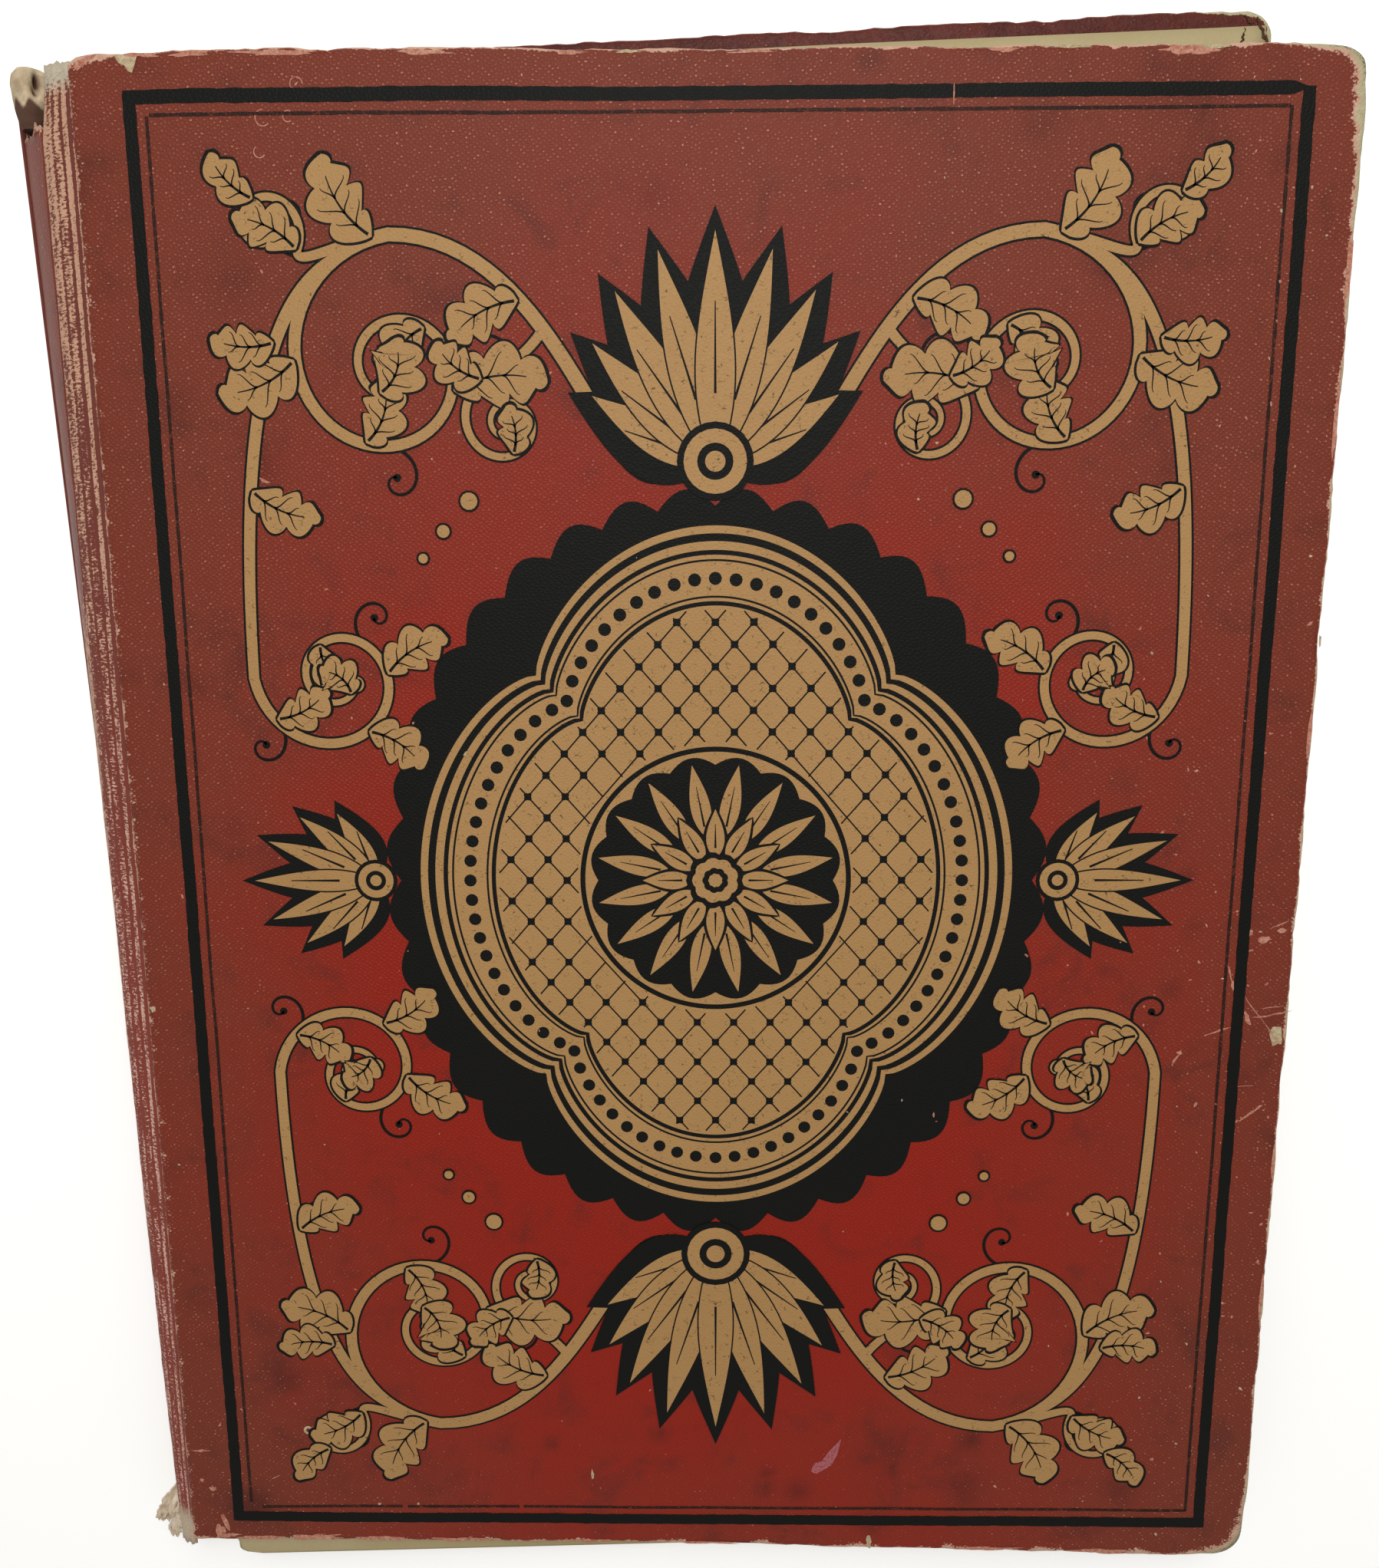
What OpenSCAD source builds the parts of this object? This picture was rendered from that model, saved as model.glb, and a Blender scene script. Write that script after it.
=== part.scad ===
// Old cloth-bound stamp album, shut and lying on its back cover.
// +X runs from the spine to the fore-edge, +Y from the tail to the head, +Z up through the leaves.
// The origin is the centre of the back cover's outer face. Lengths are millimetres.
// The two covers turn about the spine, and the leaves fan open behind the front cover.

/* [Covers] */
// Width of a cover from its spine edge to the fore-edge
cover_w = 226; // [205:1:250]
// Height of a cover from tail to head
cover_h = 300; // [270:1:330]
// Thickness of the millboard inside a cover
board_t = 2.4; // [1.8:0.1:3.2]
// Thickness of the covering cloth
cloth_t = 0.35; // [0.25:0.05:0.45]
// Radius of the two fore-edge corners
corner_r = 5; // [2:0.5:9]
// Width of the cloth turned in over the inner face of the board
turn_in = 15; // [10:1:20]
// Width of the cloth joint between a board and the spine
joint_w = 4.6; // [4:0.1:5]
// Twist of the loosened front cover against the rest of the album, in degrees
front_skew = 2.1; // [0:0.1:2.4]

/* [Leaves] */
// Thickness of the shut album over both covers
album_t = 16; // [15.6:0.1:20]
// Width of a leaf from its hinge to the fore-edge
leaf_w = 213.8; // [190:0.2:214]
// Height of a leaf from tail to head
leaf_h = 292; // [260:1:296]
// How far the leaves have slipped out past the back cover at the tail
tail_slip = 6.5; // [0:0.5:9]
// Radius of the rounded leaf corners
leaf_corner_r = 3; // [1:0.5:6]

/* [Spine] */
// How far the top of the spine leans toward the leaves at the head
spine_lean = 8.5; // [0:0.5:9]
// How far the spine rounds outward
spine_bulge = 0.5; // [0:0.1:0.8]
// Width of the guard strips that carry the leaves
guard_w = 10.7; // [10:0.1:11]
// Width of a sewing tape
tape_w = 12; // [8:1:16]
// Number of sewing tapes
tapes = 3; // [2:1:4]

/* [Hidden] */
$fn = 64;

cloth_red = "#86342a";
paper_cream = "#cfc4a2";
paper_light = "#e2d9bf";
kraft_brown = "#9a7b55";
millboard_grey = "#8f8b7c";
linen = "#d8cfb6";

// The cover's layers, counted up from its outer face
cover_t = board_t + 2 * cloth_t;
plate_t = 0.12;
flap_t = 0.5;
mull_t = 0.1;
tape_t = 0.15;
flange_w = 25;
flange_end = turn_in + 8;
tape_end_w = 20;
edge_gap = 2;
paper_inset = 1;

// The stack of leaves between the covers: flyleaves, a title leaf, single leaves, gathered sections
single_leaves = 4;
sections = 5;
leaf_gap = 0.06;
fold_paper_t = 0.35;
guard_t = 0.3;
stack_top = album_t - cover_t - 0.3;
stack_bottom = cover_t + 0.25;
flyleaf_t = 0.2;
title_t = 0.25;
single_t = 0.3;
stack_leaves = 3 + single_leaves + sections;
section_t = (stack_top - stack_bottom - 2 * flyleaf_t - title_t - single_leaves * single_t
    - (stack_leaves - 1) * leaf_gap) / sections;

// Where the leaves and the folds that carry them lie
hinge_gap = 0.3;
leaf_x = -cover_w / 2 + 8.2;
leaf_y = -cover_h / 2 - tail_slip;
fold_tail = -cover_h / 2 + 3;
fold_head = cover_h / 2 - 12;

// The spine between the two joints
spine_x = -cover_w / 2 - joint_w - 1;
spine_z0 = cover_t + 1.3;
spine_z1 = album_t - cover_t - 1.4;
spine_tail = -cover_h / 2 + 11;
spine_head = cover_h / 2 - 10;
spine_slices = 8;
spine_steps = 5;
layer_inset = 0.4;

// The rolled cores at its two ends
core_r = 2.2;
core_end = 5.3;
core_lift = 1.6;
core_lean_in = 3;
head_core_tilt = 28;

// Depth of each layer behind the face of the spine: cloth, inlay, a hollow, then the linings on the folds
inlay_from = cloth_t + 0.1;
inlay_t = 0.7;
lining_from = inlay_from + inlay_t + 0.3;
lining_t = 0.2;
thread_from = lining_from + lining_t + 0.05;
thread_t = 0.25;
thread_over = 1.5;
spine_tape_from = thread_from + thread_t;
spine_tape_t = 0.25;
spine_mull_from = spine_tape_from + spine_tape_t;
fold_from = spine_mull_from + mull_t + 0.05;

// Face of the spine at height z and place y along it: rounded outward, and leaning in toward the head
function lean(y, z) = spine_lean * (y + cover_h / 2) / cover_h * (z - spine_z0) / (spine_z1 - spine_z0);
function rounding(z) = spine_bulge * (1 - pow(2 * (z - spine_z0) / (spine_z1 - spine_z0) - 1, 2));
function spine_face(y, z) = spine_x + lean(y, z) - rounding(z);

// Heights in the stack, counted down from the front flyleaf
function single_top(i) = stack_top - flyleaf_t - title_t - 2 * leaf_gap - i * (single_t + leaf_gap);
function section_top(i) = single_top(single_leaves) - i * (section_t + leaf_gap);

function tape_y(i) = spine_tail + (spine_head - spine_tail) * (i + 0.5) / tapes;

// ---- A cover, drawn outer face down with its tail-spine corner at the origin ----

// Plan of a cover or of a layer set in from its edges, with rounded fore-edge corners
module cover_plan(inset, radius) {
    translate([inset, inset]) square([cover_w - 2 * inset - radius, cover_h - 2 * inset]);
    translate([inset, inset + radius])
        square([cover_w - 2 * inset, cover_h - 2 * inset - 2 * radius]);
    for (y = [inset + radius, cover_h - inset - radius])
        translate([cover_w - inset - radius, y]) circle(radius);
}

// Cloth over the outer face and edges of the board, turned in at head, tail and fore-edge,
// and running on past the spine edge as the joint
module cover_cloth() {
    difference() {
        linear_extrude(cover_t) cover_plan(0, corner_r);
        translate([0, 0, cloth_t]) linear_extrude(board_t) cover_plan(cloth_t, corner_r - cloth_t);
        translate([-1, turn_in, cover_t - cloth_t])
            cube([cover_w - turn_in + 1, cover_h - 2 * turn_in, 2 * cloth_t]);
    }
    translate([hinge_gap - joint_w, paper_inset, cover_t - cloth_t - flap_t])
        cube([joint_w - hinge_gap, cover_h - 2 * paper_inset, flap_t]);
}

module cover_board() {
    translate([0, 0, cloth_t]) linear_extrude(board_t) cover_plan(cloth_t, corner_r - cloth_t);
}

// Gauze flange glued to the board along its spine edge
module mull_flange() {
    translate([cloth_t, flange_end, cover_t - cloth_t]) cube([flange_w, cover_h - 2 * flange_end, mull_t]);
}

// Frayed-out ends of the sewing tapes, pasted down over the gauze
module tape_ends() {
    for (i = [0 : tapes - 1])
        translate([cloth_t, cover_h / 2 + tape_y(i) - tape_w / 2, cover_t - cloth_t + mull_t])
            cube([tape_end_w, tape_w, tape_t]);
}

// Lining paper that fills the window left by the turned-in cloth and laps over its edge
module cover_pastedown() {
    difference() {
        union() {
            translate([cloth_t, turn_in, cover_t - cloth_t])
                cube([cover_w - turn_in - cloth_t, cover_h - 2 * turn_in, cloth_t]);
            translate([paper_inset, edge_gap, cover_t])
                cube([cover_w - paper_inset - edge_gap, cover_h - 2 * edge_gap, plate_t]);
        }
        mull_flange();
        tape_ends();
    }
}

// Back cover: lies flat with its outer face down
module at_back() {
    translate([-cover_w / 2, -cover_h / 2, 0]) children();
}

// Front cover: outer face up, twisted about its tail-spine corner
module at_front() {
    translate([-cover_w / 2, -cover_h / 2, album_t]) rotate([0, 0, -front_skew]) mirror([0, 0, 1]) children();
}

module front_cover_cloth() { color(cloth_red) at_front() cover_cloth(); }
module front_board() { color(millboard_grey) at_front() cover_board(); }
module front_mull() { color(linen) at_front() mull_flange(); }
module front_tape_ends() { color(linen) at_front() tape_ends(); }
module front_pastedown() { color(paper_cream) at_front() cover_pastedown(); }

module back_cover_cloth() { color(cloth_red) at_back() cover_cloth(); }
module back_board() { color(millboard_grey) at_back() cover_board(); }
module back_mull() { color(linen) at_back() mull_flange(); }
module back_tape_ends() { color(linen) at_back() tape_ends(); }
module back_pastedown() { color(paper_cream) at_back() cover_pastedown(); }

// ---- The spine ----

// One ring of a spine layer at place y: up its outer face, then down its inner face
function layer_ring(y, from, to, z0, z1, steps) = concat(
    [for (k = [0 : steps]) let (z = z0 + (z1 - z0) * k / steps) [spine_face(y, z) + from, y, z]],
    [for (k = [steps : -1 : 0]) let (z = z0 + (z1 - z0) * k / steps) [spine_face(y, z) + to, y, z]]
);

// A layer of the spine between two depths behind its face, from y0 to y1 and z0 to z1
module spine_layer(from, to, y0, y1, z0, z1, slices = spine_slices, steps = spine_steps) {
    ring = 2 * (steps + 1);
    rings = [for (s = [0 : slices]) layer_ring(y0 + (y1 - y0) * s / slices, from, to, z0, z1, steps)];
    points = [for (r = rings) for (p = r) p];
    sides = [for (s = [0 : slices - 1]) for (k = [0 : ring - 1])
        let (a = s * ring + k, b = s * ring + (k + 1) % ring)
        each [[a, b, b + ring], [a, b + ring, a + ring]]];
    first = [for (k = [ring - 1 : -1 : 0]) k];
    last = [for (k = [0 : ring - 1]) slices * ring + k];
    polyhedron(points, concat(sides, [first, last]));
}

module spine_cloth() {
    color(cloth_red) spine_layer(0, cloth_t, spine_tail, spine_head, spine_z0, spine_z1);
}

// Card strip that stiffens the spine cloth
module spine_inlay() {
    color(millboard_grey)
        spine_layer(inlay_from, inlay_from + inlay_t, spine_tail + 2, spine_head - 2,
            spine_z0 + layer_inset, spine_z1 - layer_inset);
}

// Kraft paper over the backs of the sewn folds
module spine_lining() {
    color(kraft_brown)
        spine_layer(lining_from, lining_from + lining_t, spine_tail + 5, spine_head - 5,
            spine_z0 + layer_inset, spine_z1 - layer_inset);
}

// Gauze glued over the backs of the folds, under the paper
module spine_mull() {
    color(linen)
        spine_layer(spine_mull_from, spine_mull_from + mull_t, spine_tail + 8, spine_head - 8,
            spine_z0 + layer_inset, spine_z1 - layer_inset);
}

module sewing_tapes() {
    color(linen) for (i = [0 : tapes - 1])
        spine_layer(spine_tape_from, spine_mull_from, tape_y(i) - tape_w / 2, tape_y(i) + tape_w / 2,
            spine_z0 + layer_inset, spine_z1 - layer_inset, 1);
}

// ---- Sewn folds and guards, fixed to the spine ----

// A strip between the spine and the hinge line of the leaves, from height z up, t thick
module hinge_strip(z, t, width, tail, head) {
    depth = fold_from + 0.2;
    outer_x = leaf_x - hinge_gap;
    tail_x = max(spine_face(tail, z) + depth, outer_x - width);
    head_x = spine_face(head, z + t) + depth;
    translate([0, 0, z]) linear_extrude(t)
        polygon([[tail_x, tail], [outer_x, tail], [outer_x, head], [head_x, head]]);
}

// Folded backs of the gathered sections
module section_folds() {
    color(paper_light) for (i = [0 : sections - 1])
        hinge_strip(section_top(i) - section_t + fold_paper_t, section_t - fold_paper_t, guard_w,
            fold_tail, fold_head);
}

// Guard strips: one between every two sections, and a packet of them behind the single leaves
module guard_strips() {
    width = guard_w - 0.6;
    color(paper_cream) {
        for (i = [0 : sections - 1])
            hinge_strip(section_top(i) - section_t, guard_t, width, fold_tail + 1, fold_head - 1);
        for (i = [0 : single_leaves - 1])
            hinge_strip(single_top(i) - single_t, single_t, width, fold_tail + 1, fold_head - 1);
    }
}

// Stitches that cross each tape once for every section
module sewing_thread() {
    half_l = tape_w / 2 + thread_over;
    color(linen) for (i = [0 : tapes - 1], k = [0 : sections - 1])
        let (z = max(section_top(k) - section_t / 2, spine_z0 + layer_inset))
            spine_layer(thread_from, thread_from + thread_t, tape_y(i) - half_l, tape_y(i) + half_l,
                z, z + thread_t, 1, 1);
}

// ---- Rolled cores at the two ends of the spine, bared where the cloth has worn away ----

// Upright roll at (x, y), tilted toward the leaves
module core_roll(x, y, length, tilt) {
    translate([x, y, spine_z0 + core_lift]) rotate([0, tilt, 0]) cylinder(r = core_r, h = length);
}

module head_core() {
    color(paper_cream) core_roll(spine_x + core_lean_in, cover_h / 2 - core_end, 4.9, head_core_tilt);
}

module tail_core() {
    color(paper_cream) core_roll(spine_x, -cover_h / 2 + core_end, 5.2, 0);
}

// ---- Leaves ----

// A leaf or a block of leaves hanging down from height top, with rounded outer corners
module leaf(top, t, width = leaf_w, height = leaf_h, drop = 0) {
    translate([leaf_x + 0.2, leaf_y - drop, top - t]) linear_extrude(t) {
        translate([leaf_corner_r, 0]) square([width - 2 * leaf_corner_r, height]);
        translate([0, leaf_corner_r]) square([width, height - 2 * leaf_corner_r]);
        for (x = [leaf_corner_r, width - leaf_corner_r], y = [leaf_corner_r, height - leaf_corner_r])
            translate([x, y]) circle(leaf_corner_r);
    }
}

module front_flyleaf() { color(paper_cream) leaf(stack_top, flyleaf_t); }

module title_leaf() {
    color(paper_light) leaf(stack_top - flyleaf_t - leaf_gap, title_t, leaf_w - 0.8, leaf_h - 1);
}

module single_leaf(i) {
    color(paper_light) leaf(single_top(i), single_t, leaf_w - 0.4 * (i % 3), leaf_h, -0.4 * (i % 2));
}

module section(i) {
    color(paper_light) leaf(section_top(i), section_t, leaf_w - 0.6 * (i % 2), leaf_h, -0.5 * (i % 3));
}

module back_flyleaf() { color(paper_cream) leaf(stack_bottom + flyleaf_t, flyleaf_t, leaf_w, leaf_h, -1); }

front_cover_cloth();
front_board();
front_mull();
front_tape_ends();
front_pastedown();
back_cover_cloth();
back_board();
back_mull();
back_tape_ends();
back_pastedown();
spine_cloth();
spine_inlay();
spine_lining();
spine_mull();
sewing_tapes();
sewing_thread();
section_folds();
guard_strips();
head_core();
tail_core();
front_flyleaf();
title_leaf();
for (i = [0 : single_leaves - 1]) single_leaf(i);
for (i = [0 : sections - 1]) section(i);
back_flyleaf();
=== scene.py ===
"""Old cloth-bound stamp album, shut and lying on its back cover: 226 by 300 mm, 16 mm thick.

Two millboard covers in pebble-grained red cloth, a leaning spine, and a sewn block of leaves.
The printed centre of the front cover is a plain symmetric ornament of scrolls and a medallion.
Lengths in this file are millimetres; they become metres when a mesh is made.
"""

import math
from functools import partial

import bpy
import numpy as np
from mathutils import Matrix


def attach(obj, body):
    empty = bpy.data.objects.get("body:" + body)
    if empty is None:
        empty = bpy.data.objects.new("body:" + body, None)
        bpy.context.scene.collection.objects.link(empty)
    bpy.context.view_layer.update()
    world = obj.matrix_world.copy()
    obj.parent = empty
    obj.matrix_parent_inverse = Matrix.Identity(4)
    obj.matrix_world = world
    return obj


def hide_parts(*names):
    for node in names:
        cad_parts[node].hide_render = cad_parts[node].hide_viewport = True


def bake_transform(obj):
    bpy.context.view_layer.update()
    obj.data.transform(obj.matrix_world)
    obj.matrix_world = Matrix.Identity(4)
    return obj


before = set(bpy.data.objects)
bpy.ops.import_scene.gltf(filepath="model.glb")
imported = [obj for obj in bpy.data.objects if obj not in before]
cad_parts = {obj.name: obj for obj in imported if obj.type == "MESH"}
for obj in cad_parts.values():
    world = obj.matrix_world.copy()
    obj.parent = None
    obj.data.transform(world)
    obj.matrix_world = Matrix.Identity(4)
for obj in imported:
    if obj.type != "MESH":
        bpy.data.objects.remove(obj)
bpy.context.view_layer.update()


# ---- The table, the light and the camera ----
# The album lies on a plain white table under one large soft lamp and an even white room, so that
# colours render about as they are written. The camera looks down on it from 235 mm above the cover.

def dye(code):
    """Linear colour of an sRGB hex code: a channel is divided by 12.92 near black, else raised to 2.4."""
    parts = [int(code[i:i + 2], 16) / 255 for i in (1, 3, 5)]
    return [c / 12.92 if c <= 0.04045 else ((c + 0.055) / 1.055) ** 2.4 for c in parts] + [1.0]


modes = {"Math": "operation", "VectorMath": "operation", "Mix": "data_type",
         "MapRange": "interpolation_type", "TexVoronoi": "feature", "Attribute": "attribute_name"}


def node(tree, kind, settings={}):
    """A new node of a kind, with its mode after a space. A setting goes to the input or property it names: a
    node or socket is linked, a hex code becomes a colour, and a pair under From or To sets both its ends."""
    kind, _, mode = kind.partition(" ")
    new = tree.nodes.new("ShaderNode" + kind)
    if mode:
        setattr(new, modes[kind], mode)
    for key, value in settings.items():
        if isinstance(value, bpy.types.Node):
            value = next(socket for socket in value.outputs if socket.enabled)
        if isinstance(value, bpy.types.NodeSocket):
            tree.links.new(value, new.inputs[key])
        elif key in ("From", "To"):
            new.inputs[key + " Min"].default_value, new.inputs[key + " Max"].default_value = value
        elif isinstance(key, int) or key in new.inputs:
            new.inputs[key].default_value = dye(value) if isinstance(value, str) else value
        else:
            setattr(new, key, value)
    return new


def bare_finish(name):
    """An empty node material and the function that adds nodes to it."""
    material = bpy.data.materials.new(name)
    material.use_nodes = True
    material.node_tree.nodes.clear()
    return material, partial(node, material.node_tree)


def grid_faces(rows, cols, closed=False):
    """Quads of a grid numbered row by row; a closed grid joins its last column to its first."""
    row = np.arange(rows - 1)[:, None]
    col = np.arange(cols if closed else cols - 1)[None, :]
    a, b = row * cols + col, row * cols + (col + 1) % cols
    return np.stack([a, b, b + cols, a + cols], -1).reshape(-1, 4)


def mesh_piece(name, points, faces, material, smooth=True):
    """An object whose mesh has these points, in millimetres, and these faces."""
    mesh = bpy.data.meshes.new(name)
    rows = faces.tolist() if isinstance(faces, np.ndarray) else [list(map(int, f)) for f in faces]
    mesh.from_pydata((np.asarray(points, float).reshape(-1, 3) / 1000).tolist(), [], rows)
    mesh.polygons.foreach_set("use_smooth", [smooth] * len(mesh.polygons))
    mesh.materials.append(material)
    piece = bpy.data.objects.new(name, mesh)
    bpy.context.scene.collection.objects.link(piece)
    return piece


table_white, add = bare_finish("matt_white_table")
rays = add("LightPath")
seen = add("Math MAXIMUM", {0: rays.outputs["Is Camera Ray"], 1: rays.outputs["Is Glossy Ray"]})
seen = add("Math MAXIMUM", {0: seen, 1: rays.outputs["Is Transmission Ray"]})
lift = add("Math MULTIPLY", {0: seen, 1: 0.3})
glow = add("Emission", {"Strength": lift, "Color": (1, 1, 1, 1)})
paint = add("BsdfDiffuse", {"Color": "#f4f4f2"})
both = add("AddShader", {0: paint, 1: glow})
add("OutputMaterial", {"Surface": both})

reach = np.linspace(-2500, 2500, 11)
table_x, table_y = np.meshgrid(reach, reach)
table_top = np.stack([table_x, table_y, np.full_like(table_x, -0.02)], -1)
table = mesh_piece("table", table_top, grid_faces(11, 11), table_white)

world = bpy.data.worlds.new("white_room")
bpy.context.scene.world = world
world.use_nodes = True
world.node_tree.nodes.clear()
add = partial(node, world.node_tree)
room = add("Background", {"Color": "#fdfbf7", "Strength": 0.5})
add("OutputWorld", {"Surface": room})

lamps = {"soft_lamp": ((60, 420, 620), 420, 2.2), "head_lamp": ((-20, 190, 420), 130, 0.35)}
for lamp_name, (place, size, power) in lamps.items():
    lamp = bpy.data.lights.new(lamp_name, "AREA")
    lamp.shape, lamp.size, lamp.energy = "DISK", size / 1000, power
    lamp_object = bpy.data.objects.new(lamp_name, lamp)
    lamp_object.location = [c / 1000 for c in place]
    aim = np.array([0, 20, 16]) - np.array(place)
    tilt = math.acos(-aim[2] / np.linalg.norm(aim))
    lamp_object.rotation_euler = (tilt, 0, math.atan2(-aim[0], aim[1]))
    bpy.context.scene.collection.objects.link(lamp_object)

lens = bpy.data.cameras.new("camera")
lens.lens, lens.sensor_width = 28.268, 36
lens.clip_start, lens.clip_end = 0.01, 20
camera = bpy.data.objects.new("camera", lens)
camera.location = (0.006462, 0.056472, 0.251199)
camera.rotation_euler = [math.radians(a) for a in (-10.1616, 0.7718, -2.3314)]
bpy.context.scene.collection.objects.link(camera)
bpy.context.scene.camera = camera
bpy.context.scene.view_settings.view_transform = "Standard"


# ---- Covering cloth of the two covers ----
# Full red cloth, pebble-grained in a calender, is drawn tight over the board, rolled round its edges and
# turned in 15 mm at head, tail and fore-edge. Its grain stands 0.9 mm apart. Edges and corners are rubbed.

cover_w, cover_h, cover_t = 226, 300, 3.1
album_t = 16
cloth_t = 0.35
corner_r = 5
skew = math.radians(2.1)
roll_r = 0.9


def ramp(value, start, end):
    """0 before start and 1 past end, with a straight rise between them."""
    return np.clip((value - start) / (end - start), 0, 1)


def cover_point(side, s, t, d):
    """Place of a point s from the spine edge, t from the tail and d inward from the outer face. Outside the
    printed frame the worn covers spread by 1 to 2 mm, most at the tail corner of the front one."""
    s, t, d = np.broadcast_arrays(np.asarray(s, float), t, d)
    if side == "back":
        spread = 1.6 * ramp(s, 60, 220) * ramp(t, 40, 260)
        return np.stack([s - cover_w / 2 + spread, t * 1.0086 - cover_h / 2, d], -1)
    low = 2.3 * ramp(s, 95, 212) * ramp(t, 4.8, 0.6)
    droop = 1.9 * ramp(s, 4.6, 0.2) ** 3 * ramp(t, 294, 300)
    s = s + 2 * ramp(s, 219.4, 224.6) - 1.3 * ramp(s, 7, 1)
    lift = 0.7 * ramp(s, 4, 22) * ramp(s, 95, 60) * ramp(t, 285, 299)
    t = t - low - droop + lift
    x = -cover_w / 2 + s * math.cos(skew) + t * math.sin(skew)
    y = -cover_h / 2 - s * math.sin(skew) + t * math.cos(skew)
    return np.stack([x, y, album_t - d], -1)


def ripple(a, seed, waves=6, shortest=3, longest=40):
    """Sum of sines of seeded lengths and phases, scaled to about -1..1."""
    rng = np.random.default_rng(seed)
    lengths = np.exp(rng.uniform(math.log(shortest), math.log(longest), waves))
    phases = rng.uniform(0, 2 * math.pi, waves)
    weights = np.sqrt(lengths / longest)
    turn = 2 * math.pi * np.asarray(a)
    total = sum(w * np.sin(turn / l + p) for w, l, p in zip(weights, lengths, phases))
    return total / np.sqrt((weights ** 2).sum())


def outline(inset, n_side, n_corner, n_end):
    """Open path round tail, fore-edge and head at an inset: straight runs joined by corner arcs."""
    r = np.maximum(corner_r - inset, 0.4)
    right, low, high = cover_w - inset - r, inset + r, cover_h - inset - r
    run = np.linspace(0, 1, n_side)
    arc = np.linspace(0, math.pi / 2, n_corner)
    up = np.linspace(0, 1, n_end)
    s = np.concatenate([run * right, (right + r * np.sin(arc))[1:], np.full(n_end, cover_w - inset)[1:],
                        (right + r * np.cos(arc))[1:], ((1 - run) * right)[1:]])
    t = np.concatenate([np.full(n_side, inset), (low - r * np.cos(arc))[1:], (low + up * (high - low))[1:],
                        (high + r * np.sin(arc))[1:], np.full(n_side, cover_h - inset)[1:]])
    return s, t


def finish_named(name, coordinates="Object", scale=1000):
    """An empty material, the function that adds its nodes, and the place on the piece, in millimetres."""
    material, add = bare_finish(name)
    place = add("TexCoord").outputs[coordinates]
    return material, add, add("VectorMath SCALE", {0: place, "Scale": scale})


def skin(material, add, surface, height, strength, depth):
    """The material, finished with a surface whose relief follows height and is depth millimetres deep."""
    bump = add("Bump", {"Height": height, "Strength": strength, "Distance": depth / 1000})
    surface = add("BsdfPrincipled", {**surface, "Normal": bump})
    add("OutputMaterial", {"Surface": surface})
    return material


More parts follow.
